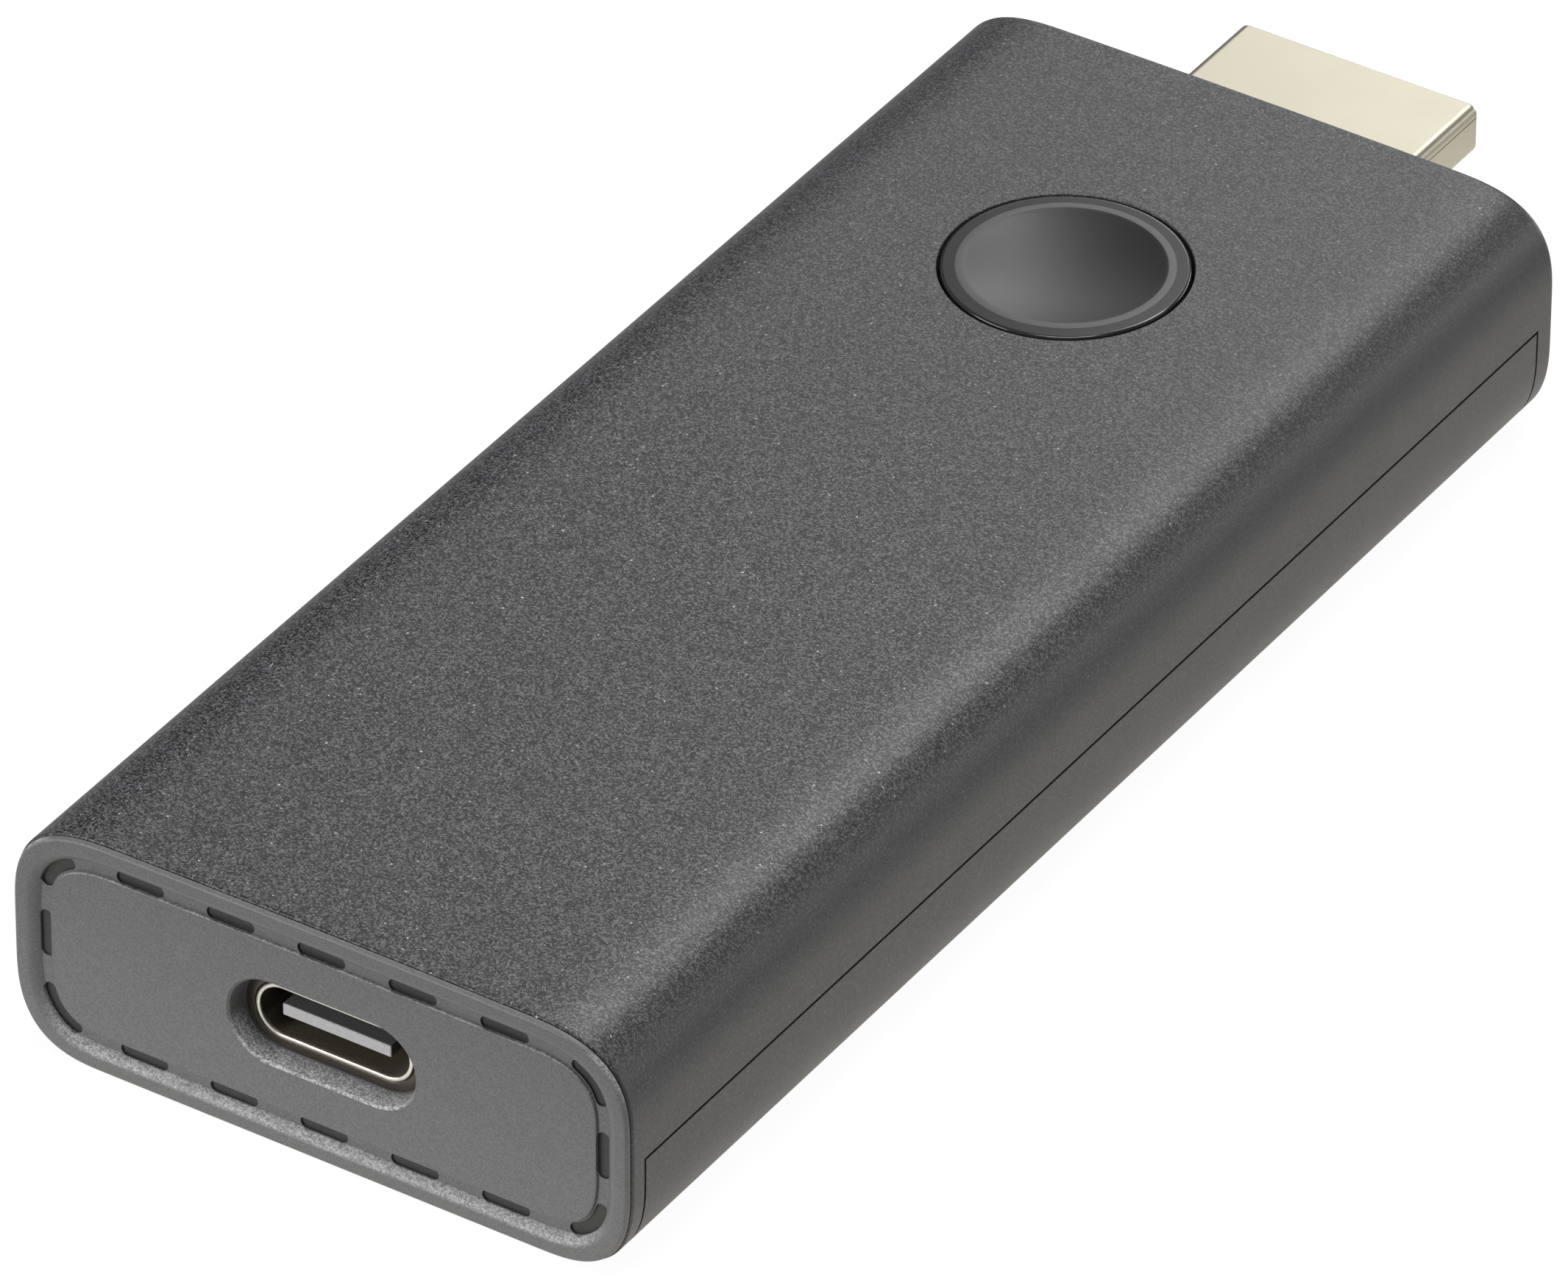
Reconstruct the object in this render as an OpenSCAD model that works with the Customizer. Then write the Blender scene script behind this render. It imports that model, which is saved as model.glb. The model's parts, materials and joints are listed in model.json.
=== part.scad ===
// Streaming stick with a video plug on one end and a power socket in the other.
// Millimetres. +Z up, +Y towards the plug, button on top.

/* [Body] */
// Width of the body
body_w = 34.7; // [34:0.1:36]
// Height at the middle of the top
body_h = 13.5; // [13.3:0.1:14.5]
// Length of the shells without the end cap
shell_len = 82.8; // [81:0.1:88]
// Wall of the shells
wall = 1.3; // [1.2:0.05:1.4]
// Thickness of the wall behind the plug
far_wall = 1.5; // [1.2:0.05:2]
// Width of a top corner
corner_top_w = 6.15; // [5.5:0.05:6.5]
// Height of a top corner
corner_top_h = 5.37; // [5:0.05:5.6]
// Width of a bottom corner
corner_bot_w = 5; // [4.5:0.05:5.4]
// Height of a bottom corner
corner_bot_h = 5.57; // [5:0.05:5.8]
// Fullness of the top corners
corner_top_curve_share = 2.94; // [2.4:0.02:3.4]
// Fullness of the bottom corners
corner_bot_curve_share = 2.77; // [2.4:0.02:3.4]
// Rise of the crowned top
crown = 0.15; // [0.05:0.01:0.25]
// Rounding at the plug end
far_round = 0.38; // [0.2:0.02:0.5]
// Rounding of the shell edge behind the cap
near_round = 0.25; // [0.15:0.01:0.3]
// Height of the seam along the sides
seam_z = 6.73; // [6.6:0.01:6.9]
// Gap in the seams
seam_gap = 0.12; // [0.08:0.01:0.15]
// Length of the closed ring at the near end
ring_len = 0.96; // [0.8:0.02:1.2]
// Thickness of the closed ring
ring_wall = 0.6; // [0.55:0.01:0.62]
// Clearance between pieces that fit together
fit_gap = 0.1; // [0.06:0.01:0.12]
// Thickness of the lip on the cover
lip_t = 0.55; // [0.45:0.01:0.6]
// Height of the lip on the cover
lip_h = 0.7; // [0.5:0.05:0.9]

/* [Cover hooks] */
// Places of the hooks along the cover
hook_place_shares = [0.24, 0.5, 0.74];
// Width of a hook
hook_w = 4; // [3:0.1:5]
// Thickness of a hook
hook_t = 0.8; // [0.6:0.05:0.85]
// Depth of a hook below the seam
hook_root = 2; // [1.6:0.1:2.2]
// Height of the catch above the seam
hook_catch = 1.2; // [1.1:0.05:1.4]
// Length of the sloped tip
hook_tip = 0.9; // [0.7:0.05:1.1]
// Reach of the barb
hook_barb = 0.4; // [0.3:0.02:0.45]

/* [End cap] */
// How far the cap stands in front of the shells
cap_proud = 0.35; // [0.3:0.01:0.45]
// Step from the shell outline in to the cap
cap_inset = 0.18; // [0.12:0.01:0.25]
// Rounding of the cap edge
cap_round = 0.2; // [0.12:0.01:0.22]
// Gap between the cap and the shell edge
cap_gap = 0.07; // [0.05:0.01:0.08]
// Depth of the cap behind the socket recess
cap_depth = 2.45; // [2.2:0.05:2.7]
// Step from the panel edge in to the deep middle of the cap
core_step = 0.32; // [0.25:0.01:0.5]
// Inner edge of the flat rim
rim_in = 0.75; // [0.6:0.01:0.85]
// Width of the slope inside the rim
slope_w = 0.63; // [0.6:0.01:0.66]
// Width of the slotted groove
groove_w = 0.6; // [0.59:0.01:0.65]
// Depth of the slotted groove
groove_y = 0.45; // [0.4:0.01:0.5]
// Depth of the panel face
panel_y = 0.3; // [0.2:0.01:0.35]
// Width of a vent slot
slot_w = 0.55; // [0.45:0.01:0.56]
// Length of a straight slot
slot_len = 2.66; // [2.4:0.02:2.8]
// Length of a side slot along the upright side
side_slot_share = 0.8755; // [0.8:0.0005:0.95]
// How far a row of slots runs past the flat top
slot_reach = 0.346; // [0.2:0.002:0.4]
// Straight slots in a row
slot_count = 5; // [5:2:5]
// Start and end of an upper corner slot along its curve
slot_top_shares = [0.155, 0.69];
// Start and end of a lower corner slot along its curve
slot_bot_shares = [0.175, 0.775];
// Width of a cap tab
tab_w = 2.1; // [1.8:0.05:2.2]
// Thickness of a cap tab
tab_t = 0.8; // [0.6:0.05:0.9]
// Length of a cap tab
tab_len = 4; // [3.5:0.1:4.5]
// Reach of the barb on a tab
tab_barb = 0.35; // [0.25:0.01:0.4]
// Length of the barb on a tab
tab_barb_len = 0.9; // [0.7:0.05:1.1]

/* [Power socket] */
// Height of the middle of the socket
usb_z = 6.77; // [6.7:0.01:6.85]
// Width of the socket shell
usb_w = 8.94; // [8.9:0.01:9]
// Height of the socket shell
usb_h = 3.2; // [3.1:0.01:3.3]
// Length of the socket shell
usb_len = 7.1; // [6.9:0.05:7.6]
// Thickness of the socket shell
usb_wall = 0.3; // [0.25:0.01:0.32]
// Depth of the socket rim behind the front
usb_y = 1.37; // [1.3:0.01:1.45]
// Gap between the recess and the sides of the socket
recess_side = 0.78; // [0.65:0.01:0.9]
// Gap between the recess and the socket above and below
recess_gap = 0.725; // [0.65:0.005:0.8]
// How far the socket stands out of the recess floor
usb_proud = 0.18; // [0.1:0.01:0.25]
// Width of the tongue
tongue_w = 6.69; // [6.6:0.01:6.75]
// Thickness of the tongue
tongue_t = 0.7; // [0.65:0.01:0.75]
// Depth of the tongue tip behind the socket rim
tongue_y = 0.83; // [0.7:0.01:1]
// Length of the block behind the tongue
usb_base_len = 2.1; // [1.9:0.05:2.4]
// Contacts on each side of the tongue
usb_count = 12; // [12:1:12]
// Spacing of the contacts
usb_pitch = 0.5; // [0.49:0.005:0.51]
// Width of a contact
usb_pin_w = 0.25; // [0.2:0.01:0.27]
// Thickness of a contact
usb_pin_t = 0.1; // [0.08:0.01:0.12]
// Step of the lower contacts behind the block
usb_tail = 0.5; // [0.4:0.02:0.6]
// Length of a shell leg along the board
usb_leg_len = 0.8; // [0.6:0.05:1]
// Places of the legs along the shell
usb_leg_shares = [0.44, 0.84];

/* [Video plug] */
// How far the plug stands out
plug_len = 9.85; // [9.5:0.05:11]
// Width of the plug shell
plug_w = 13.9; // [13.8:0.01:14]
// Height of the plug shell
plug_h = 4.45; // [4.4:0.01:4.55]
// Height of the top of the plug
plug_top = 9.94; // [9.9:0.01:10]
// Height of the upright sides
plug_side = 2.49; // [2.3:0.01:2.6]
// How far each side leans in at the bottom
plug_lean = 1.75; // [1.6:0.01:1.9]
// Rounding of the top corners
plug_round = 0.5; // [0.4:0.02:0.6]
// Thickness of the plug shell
plug_wall = 0.3; // [0.25:0.01:0.32]
// Length of the plug shell inside the body
plug_in = 7.15; // [6.8:0.05:7.4]
// Clearance of the opening around the plug
plug_gap = 0.15; // [0.1:0.01:0.2]
// Depth of the insulator behind the plug rim
ins_recess = 1; // [0.7:0.05:1.3]
// Length of the block behind the plug shell
ins_block = 2.4; // [2.2:0.05:2.6]
// Thickness of the insulator beside the slot
ins_side = 0.65; // [0.6:0.01:0.75]
// Thickness of the insulator above and below the slot
ins_floor = 0.9; // [0.85:0.01:0.95]
// Depth of the slot in the insulator
ins_slot_len = 7.5; // [7:0.1:8]
// Contacts in the upper row
pin_top_count = 10; // [10:1:10]
// Contacts in the lower row
pin_bot_count = 9; // [9:1:9]
// Spacing of the contacts
pin_pitch = 1; // [0.98:0.01:1.02]
// Width of a contact
pin_w = 0.45; // [0.4:0.01:0.5]
// Thickness of a contact
pin_t = 0.2; // [0.16:0.01:0.22]
// How far a contact stands into the slot
pin_proud = 0.12; // [0.08:0.01:0.14]
// Length of a contact foot
pin_foot = 0.9; // [0.7:0.05:1.1]
// Distance between the two rows of feet
pin_row = 1.6; // [1.5:0.05:1.8]
// Length of a plug leg along the board
plug_leg_len = 1.2; // [1:0.05:1.5]

/* [Button] */
// Radius of the hole for the button
button_hole_r = 6.38; // [6.3:0.01:6.5]
// Gap around the button
button_gap = 0.26; // [0.2:0.01:0.3]
// Width of the sloping shoulder
button_shoulder_w = 0.68; // [0.55:0.01:0.8]
// Width of the flat ring
button_ring_w = 0.38; // [0.3:0.01:0.5]
// How far the ring stands above the top
button_proud = 0.1; // [0.05:0.01:0.2]
// Drop of the sloping shoulder
button_shoulder = 0.35; // [0.25:0.01:0.45]
// Depth of the dish
button_dish = 0.5; // [0.3:0.01:0.6]
// Thickness of the dish floor
button_floor = 0.9; // [0.8:0.05:1]
// Reach of the flange under the shell
button_flange = 0.88; // [0.78:0.02:1.08]
// Thickness of the flange
button_flange_t = 0.8; // [0.7:0.05:0.9]
// Wall between the shoulder and the hollow
button_wall = 1; // [0.8:0.05:1.1]
// Radius of the middle post
button_post_r = 1.5; // [1.3:0.05:1.7]
// Travel of the button
button_travel = 0.3; // [0.25:0.01:0.35]
// Space kept around a moving piece
move_gap = 0.3; // [0.25:0.01:0.32]
// Radius of a guide pin
guide_r = 0.8; // [0.7:0.01:0.9]
// Distance of a guide pin from the edge of the button
guide_out = 2.58; // [2.4:0.02:2.8]
// Running clearance around a guide
guide_gap = 0.06; // [0.04:0.01:0.08]
// Width of an ear on the flange
ear_w = 3.2; // [3:0.05:3.6]

/* [Switch] */
// Side of the switch
switch_w = 6; // [5.8:0.05:6.3]
// Height of the switch body
switch_h = 3.4; // [3.2:0.05:3.6]
// Thickness of the metal cover
switch_cover_t = 0.25; // [0.2:0.01:0.3]
// Radius of the plunger
plunger_r = 1.7; // [1.6:0.02:1.8]
// Reach of the plunger flange
plunger_lip = 0.5; // [0.4:0.02:0.6]
// Height of the plunger above the cover
plunger_up = 0.75; // [0.65:0.05:0.9]
// Height of the chamber floor above the board
chamber_floor = 0.9; // [0.8:0.05:1]
// Height of the snap dome
dome_h = 0.5; // [0.45:0.01:0.55]
// Thickness of the snap dome
dome_t = 0.1; // [0.08:0.01:0.12]
// Width of a switch terminal
terminal_w = 0.7; // [0.6:0.05:0.8]
// Thickness of a switch terminal
terminal_t = 0.2; // [0.15:0.01:0.25]
// Reach of a switch terminal
terminal_len = 1; // [0.8:0.05:1.2]
// Distance of a terminal from the corner of the switch
terminal_edge = 0.4; // [0.3:0.02:0.5]
// Gap between the switch and the contacts of the plug
switch_gap = 2.67; // [2.2:0.01:3]

/* [Board] */
// Gap between the board and the side walls
board_gap = 1.25; // [1.15:0.05:1.45]
// Thickness of the board
board_t = 1; // [0.8:0.05:1.2]
// Distance of the board from the near end
board_y = 3.6; // [3.3:0.05:3.8]
// Distance of the board from the far wall
board_end = 2.6; // [2.4:0.05:3]
// Cut at the board corners
board_cut = 1.2; // [0.8:0.05:1.6]
// Distance of a boss from the edge of the board
boss_edge = 2.5; // [2.4:0.05:2.6]
// Distance of the near bosses from the near end
boss_y_near = 13; // [12.8:0.1:14]
// Distance of the far bosses before the far wall
boss_y_far = 11.2; // [11:0.1:11.4]
// Radius of a boss
boss_r = 1.9; // [1.8:0.02:2]
// Radius of a screw shank
screw_r = 0.8; // [0.75:0.01:0.85]
// Length of a screw shank
screw_len = 4.2; // [4:0.05:4.4]
// Radius of a screw head
screw_head_r = 1.5; // [1.4:0.02:1.6]
// Height of a screw head
screw_head_h = 0.9; // [0.8:0.02:1]
// Width of the cross in a screw head
screw_cross_w = 0.35; // [0.3:0.01:0.4]
// Clearance of the screw in its boss
screw_gap = 0.03; // [0.02:0.01:0.05]
// Radius of a cover post
post_r = 1.1; // [1:0.02:1.15]
// Places of the cover posts between the bosses
post_place_shares = [0.3, 0.68];

/* [Parts on the board] */
// Gap between the contacts of the socket and the power chip
power_gap = 1.28; // [1.1:0.02:1.5]
// Gap between the power chip and the shield
shield_gap = 6; // [5.6:0.1:6.5]
// Space between the shield and the switch
radio_space = 10.13; // [9.5:0.01:11]
// Gap between the heat plate and the cover posts
plate_gap = 0.2; // [0.15:0.01:0.3]
// Height of the shield frame
shield_h = 2; // [1.9:0.02:2.1]
// Thickness of the shield metal
shield_t = 0.25; // [0.2:0.01:0.3]
// Width and length of the processor in the shield
chip_size_shares = [0.636, 0.452];
// Height of the processor
chip_h = 1.1; // [1:0.02:1.2]
// Place of the processor along the shield
chip_place_share = 0.3; // [0.28:0.01:0.32]
// Width and length of a memory chip in the shield
memory_size_shares = [0.409, 0.355];
// Height of a memory chip
memory_h = 0.9; // [0.8:0.02:1]
// Place of the memory chips along the shield
memory_place_share = 0.76; // [0.75:0.01:0.78]
// Gap between the memory chips
memory_gap = 1; // [0.8:0.05:1.4]
// Height of the solder under a chip
solder_h = 0.2; // [0.15:0.01:0.22]
// Thickness of the pad over the shield
pad_t = 0.6; // [0.5:0.02:0.7]
// Width and length of the pads in the shield
pad_size_shares = [0.545, 0.387];
// Thickness of the heat sink base
sink_base = 1.1; // [1:0.05:1.2]
// Fins on the heat sink
fin_count = 8; // [6:1:9]
// Thickness of a fin
fin_t = 0.8; // [0.6:0.05:1]
// Gap between the fins and the shell
fin_gap = 0.3; // [0.2:0.02:0.4]
// Width and length of the storage chip under the shield
storage_size_shares = [0.523, 0.419];
// Height of the storage chip
storage_h = 0.9; // [0.8:0.02:1]
// Thickness of the plate on the cover floor
plate_t = 0.8; // [0.6:0.02:0.9]
// Place of the radio chip between the shield and the switch
radio_place_share = 0.444; // [0.4:0.002:0.5]
// Side of the radio chip
radio_w = 6; // [5.6:0.1:6.2]
// Height of the radio chip
radio_h = 0.8; // [0.7:0.02:0.9]
// Side of the power chip
power_w = 4; // [3.8:0.1:4.2]
// Height of the power chip
power_h = 0.8; // [0.7:0.02:0.9]
// Width of the crystal
crystal_w = 2.5; // [2.3:0.05:2.7]
// Length of the crystal
crystal_len = 3.2; // [3:0.05:3.4]
// Height of the crystal
crystal_h = 0.7; // [0.6:0.02:0.8]
// Side of an inductor
coil_w = 3.6; // [3.4:0.05:3.8]
// Height of an inductor
coil_h = 1.8; // [1.6:0.05:2]
// Length of an antenna
antenna_len = 8.5; // [8:0.1:9]
// Height of an antenna
antenna_h = 2.8; // [2.5:0.05:3.2]
// Thickness of an antenna
antenna_t = 0.3; // [0.25:0.01:0.35]
// Length of a capacitor
cap_part_len = 1.6; // [1.5:0.02:1.7]
// Width of a capacitor
cap_part_w = 0.8; // [0.7:0.02:0.9]
// Length of a resistor
res_len = 1; // [0.9:0.02:1.1]
// Width of a resistor
res_w = 0.5; // [0.45:0.01:0.55]
// Height of a resistor
res_h = 0.35; // [0.3:0.01:0.4]

/* [Hidden] */
$fn = 48;
// One overrun for all cuts
over = 1;
corner_count = 8;
run_count = 5;
round_count = 3;
dish_count = 6;
inlay_gap = 0.02;
right_angle = 90;
half_w = body_w / 2;
top_base = body_h - crown;
ceiling = body_h - wall;
shell_y0 = cap_proud;
shell_y1 = shell_y0 + shell_len;
total_len = shell_y1 + plug_len;
cover_y0 = shell_y0 + ring_len;
cover_y1 = shell_y1 - far_wall;
cap_back = shell_y0 - cap_gap;
plate_end = cover_y0 - fit_gap;
board_top = usb_z - usb_h / 2;
board_bot = board_top - board_t;
board_w = body_w - 2 * (wall + board_gap);
board_y1 = cover_y1 - board_end;
board_len = board_y1 - board_y;
boss_x = board_w / 2 - boss_edge;
boss_y2 = cover_y1 - boss_y_far;
boss_span = boss_y2 - boss_y_near;
usb_floor = usb_y + usb_proud;
usb_y1 = usb_y + usb_len;
groove_in = rim_in + slope_w;
panel_in = groove_in + groove_w;
slot_in = groove_in + groove_w / 2;
core_in = panel_in + core_step;
side_slot_len = slot_w + (top_base - corner_top_h - corner_bot_h) * side_slot_share;
slot_pitch = (body_w - 2 * corner_top_w + 2 * slot_reach - slot_len) / (slot_count - 1);
recess_w = usb_w + 2 * recess_side;
recess_h = usb_h + 2 * recess_gap;
plug_y0 = cover_y1 - plug_in + far_wall;
plug_bot = plug_top - plug_h;
plug_bot_w = plug_w - 2 * plug_lean;
ins_slot_w = plug_w - 2 * plug_wall - 2 * ins_side;
ins_slot_h = plug_h - 2 * plug_wall - 2 * ins_floor;
slot_z = plug_top - plug_h / 2;
ins_y0 = plug_y0 - ins_block;
pin_bot_y = ins_y0 - pin_foot / 3;
pin_top_y = pin_bot_y - pin_row;
pins_y0 = pin_top_y - pin_foot;
button_y = pins_y0 - switch_gap - switch_w / 2;
button_r = button_hole_r - button_gap;
button_ring_out = button_r - button_shoulder_w;
button_ring_in = button_ring_out - button_ring_w;
button_flange_r = button_r + button_flange;
guide_x = button_r + guide_out;
plunger_flange_r = plunger_r + plunger_lip;
terminal_y = switch_w / 2 - terminal_w / 2 - terminal_edge;
flange_top = ceiling - move_gap;
flange_bot = flange_top - button_flange_t;
ring_z = body_h + button_proud;
dish_z = ring_z - button_dish;
switch_top = board_top + switch_h;
cover_top = switch_top + switch_cover_t;
plunger_top = cover_top + plunger_up;
floor_z = board_top + chamber_floor;
dome_top = floor_z + dome_h;
lid_top = board_top + shield_h + shield_t;
sink_z = lid_top + pad_t;
usb_pins_y1 = usb_y1 + 2.5 * usb_tail;
power_y = usb_pins_y1 + power_gap + power_w / 2;
shield_y = power_y + power_w / 2 + shield_gap;
shield_y1 = button_y - switch_w / 2 - radio_space;
shield_len = shield_y1 - shield_y;
shield_w = 2 * (boss_x - post_r - plate_gap);
chip_y = shield_y + shield_len * chip_place_share;
chip_w = shield_w * chip_size_shares[0];
chip_len = shield_len * chip_size_shares[1];
memory_y = shield_y + shield_len * memory_place_share;
memory_w = shield_w * memory_size_shares[0];
memory_len = shield_len * memory_size_shares[1];
storage_w = shield_w * storage_size_shares[0];
storage_len = shield_len * storage_size_shares[1];
pad_w = shield_w * pad_size_shares[0];
pad_len = shield_len * pad_size_shares[1];
radio_y = shield_y1 + radio_space * radio_place_share;
shell_grey = [0.33, 0.33, 0.35];
cap_grey = [0.42, 0.42, 0.43];
steel = [0.75, 0.75, 0.76];
gold = [0.83, 0.76, 0.55];
black = [0.08, 0.08, 0.09];
pad_grey = [0.55, 0.6, 0.66];

// Outline of the body
function bend(a, e) = pow(max(a, 0), 2 / e);
function backwards(list) = [for (k = [len(list) - 1 : -1 : 0]) list[k]];
function lifted(p) = [p[0], p[1] + crown * (1 - pow(p[0] / half_w, 2))];
function curve(sx, sz, rx, rz, e, cz, inset, from, to, count) = [
    for (k = [0 : count])
    let (t = right_angle * (from + (to - from) * k / count))
    [sx * (half_w - rx + (rx - inset) * bend(cos(t), e)), cz + sz * (rz - inset) * bend(sin(t), e)]
];
function top_curve(sx, inset, from, to, count) = [
    for (p = curve(sx, 1, corner_top_w, corner_top_h, corner_top_curve_share,
        top_base - corner_top_h, inset, from, to, count)) lifted(p)
];
function bot_curve(sx, inset, from, to, count) = curve(sx, -1, corner_bot_w, corner_bot_h,
    corner_bot_curve_share, corner_bot_h, inset, from, to, count);
function top_run(inset) = [
    for (k = [1 : run_count])
    lifted([(half_w - corner_top_w) * (1 - 2 * k / (run_count + 1)), top_base - inset])
];
function outline(inset) = concat(
    top_curve(1, inset, 0, 1, corner_count),
    top_run(inset),
    backwards(top_curve(-1, inset, 0, 1, corner_count)),
    bot_curve(-1, inset, 0, 1, corner_count),
    backwards(bot_curve(1, inset, 0, 1, corner_count))
);
function rounded(y, r, inset, way) = [
    for (k = [0 : round_count])
    let (t = right_angle * k / round_count)
    [y + way * r * (1 - cos(t)), inset + r * (1 - sin(t))]
];

// Outline of the plug, grown or shrunk
function plug_outline(grow) = concat(
    [[plug_w / 2 + grow, plug_top - plug_side]],
    [for (k = [0 : round_count]) let (t = right_angle * k / round_count)
        [plug_w / 2 - plug_round + (plug_round + grow) * cos(t),
        plug_top - plug_round + (plug_round + grow) * sin(t)]],
    [for (k = [0 : round_count]) let (t = right_angle * (1 + k / round_count))
        [plug_round - plug_w / 2 + (plug_round + grow) * cos(t),
        plug_top - plug_round + (plug_round + grow) * sin(t)]],
    [[-plug_w / 2 - grow, plug_top - plug_side],
    [-plug_bot_w / 2 - grow / 2, plug_bot - grow],
    [plug_bot_w / 2 + grow / 2, plug_bot - grow]]
);

// Helpers
module placed() {
    translate([0, -total_len / 2, 0]) children();
}

module prism(y0, y1) {
    translate([0, y1, 0]) rotate([90, 0, 0]) linear_extrude(y1 - y0) children();
}

module block(x0, x1, y0, y1, z0, z1) {
    translate([x0, y0, z0]) cube([x1 - x0, y1 - y0, z1 - z0]);
}

module slab(x, y, w, l, z0, z1) {
    block(x - w / 2, x + w / 2, y - l / 2, y + l / 2, z0, z1);
}

module pillar(x, y, r, z0, z1) {
    translate([x, y, z0]) cylinder(r = r, h = z1 - z0);
}

module both_sides() {
    children();
    mirror([1, 0, 0]) children();
}

module loft(stops) {
    n = len(outline(0));
    last = len(stops) - 1;
    points = [for (s = stops) for (p = outline(s[1])) [p[0], s[0], p[1]]];
    near = [for (i = [n - 1 : -1 : 0]) i];
    far = [for (i = [0 : n - 1]) last * n + i];
    sides_a = [for (j = [0 : last - 1]) for (i = [0 : n - 1])
        [j * n + i, j * n + (i + 1) % n, (j + 1) * n + (i + 1) % n]];
    sides_b = [for (j = [0 : last - 1]) for (i = [0 : n - 1])
        [j * n + i, (j + 1) * n + (i + 1) % n, (j + 1) * n + i]];
    polyhedron(points, concat([near], sides_a, sides_b, [far]));
}

module stadium(w, h) {
    translate([h / 2 - w / 2, 0]) circle(h / 2);
    translate([w / 2 - h / 2, 0]) circle(h / 2);
    translate([h / 2 - w / 2, -h / 2]) square([w - h, h]);
}

module at_bosses() {
    for (x = [-boss_x, boss_x]) {
        for (y = [boss_y_near, boss_y2]) {
            translate([x, y, 0]) children();
        }
    }
}

// Casing
hook_x = half_w - wall - fit_gap;
hook_z = seam_z + hook_catch;
tab_top = ceiling - crown - fit_gap;
tab_bot = wall + fit_gap;
tab_x = slot_pitch * 1.5;
tab_y1 = cap_depth + tab_len;

module hook_windows() {
    for (share = hook_place_shares) {
        y = cover_y0 + (cover_y1 - cover_y0) * share;
        both_sides() block(hook_x - over, hook_x + hook_barb + fit_gap, y - hook_w / 2 - fit_gap,
            y + hook_w / 2 + fit_gap, hook_z - fit_gap, hook_z + hook_tip + fit_gap);
    }
}

module tab_notch(z0, z1) {
    both_sides() block(tab_x - tab_w / 2 - fit_gap, tab_x + tab_w / 2 + fit_gap,
        tab_y1 - tab_barb_len - fit_gap, tab_y1 + fit_gap, z0, z1);
}

module top_shell() color(shell_grey) placed() {
    difference() {
        union() {
            difference() {
                loft(concat(rounded(shell_y0, near_round, 0, 1),
                    backwards(rounded(shell_y1, far_round, 0, -1))));
                prism(shell_y0 - over, cover_y1) polygon(outline(wall));
                prism(shell_y0 - over, cover_y0) polygon(outline(ring_wall));
                block(-body_w, body_w, cover_y0, cover_y1, -over, seam_z);
                prism(cover_y0, cover_y1) intersection() {
                    polygon(outline(wall - lip_t - fit_gap));
                    translate([-body_w, 0]) square([2 * body_w, seam_z + lip_h + fit_gap]);
                }
            }
            at_bosses() pillar(0, 0, boss_r, board_top, body_h - crown - wall / 2);
            both_sides() pillar(guide_x, button_y, guide_r, flange_bot - button_travel - move_gap,
                body_h - crown - wall / 2);
        }
        pillar(0, button_y, button_hole_r, ceiling - over, body_h + over);
        prism(cover_y1 - over, shell_y1 + over) polygon(plug_outline(plug_gap));
        at_bosses() pillar(0, 0, screw_r + screw_gap, board_top - over,
            board_top + screw_len - board_t + fit_gap);
        hook_windows();
        tab_notch(tab_top - over, tab_top + tab_barb + fit_gap);
    }
}

module hook() {
    x0 = hook_x - hook_t;
    x2 = half_w - wall / 2;
    z0 = seam_z - hook_root;
    z1 = seam_z - seam_gap - fit_gap;
    polygon([[x0, z0], [x2, z0], [x2, z1], [hook_x, z1], [hook_x, hook_z],
        [hook_x + hook_barb, hook_z], [hook_x, hook_z + hook_tip], [x0, hook_z + hook_tip]]);
}

module bottom_cover() color(shell_grey) placed() {
    difference() {
        union() {
            difference() {
                prism(cover_y0 + seam_gap, cover_y1 - seam_gap) polygon(outline(0));
                prism(cover_y0 - over, cover_y1 + over) polygon(outline(wall));
                block(-body_w, body_w, cover_y0 - over, cover_y1 + over, seam_z - seam_gap,
                    body_h + over);
            }
            prism(cover_y0 + wall, cover_y1 - wall) intersection() {
                difference() {
                    polygon(outline(wall - lip_t));
                    polygon(outline(wall));
                }
                translate([-body_w, seam_z - wall]) square([2 * body_w, wall + lip_h]);
            }
            for (share = hook_place_shares) {
                y = cover_y0 + (cover_y1 - cover_y0) * share;
                both_sides() prism(y - hook_w / 2, y + hook_w / 2) hook();
            }
            for (share = post_place_shares) {
                both_sides() pillar(boss_x, boss_y_near + boss_span * share, post_r, wall / 2, board_bot);
            }
        }
        tab_notch(tab_bot - tab_barb - fit_gap, tab_bot + over);
    }
}

module corner_slot(list_in, list_out, ends) {
    polygon(concat(list_out, backwards(list_in)));
    translate(ends[0]) circle(slot_w / 2);
    translate(ends[1]) circle(slot_w / 2);
}

module vent_slots() {
    a = slot_in - slot_w / 2;
    b = slot_in + slot_w / 2;
    t = slot_top_shares;
    u = slot_bot_shares;
    for (k = [0 : slot_count - 1]) {
        x = (k - (slot_count - 1) / 2) * slot_pitch;
        translate([x, lifted([x, top_base - slot_in])[1]]) stadium(slot_len, slot_w);
        translate([x, slot_in]) stadium(slot_len, slot_w);
    }
    for (side = [-1, 1]) {
        translate([side * (half_w - slot_in), body_h / 2]) rotate(right_angle)
            stadium(side_slot_len, slot_w);
        corner_slot(top_curve(side, b, t[0], t[1], corner_count),
            top_curve(side, a, t[0], t[1], corner_count),
            top_curve(side, slot_in, t[0], t[1], 1));
        corner_slot(bot_curve(side, b, u[0], u[1], corner_count),
            bot_curve(side, a, u[0], u[1], corner_count),
            bot_curve(side, slot_in, u[0], u[1], 1));
    }
}

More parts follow.
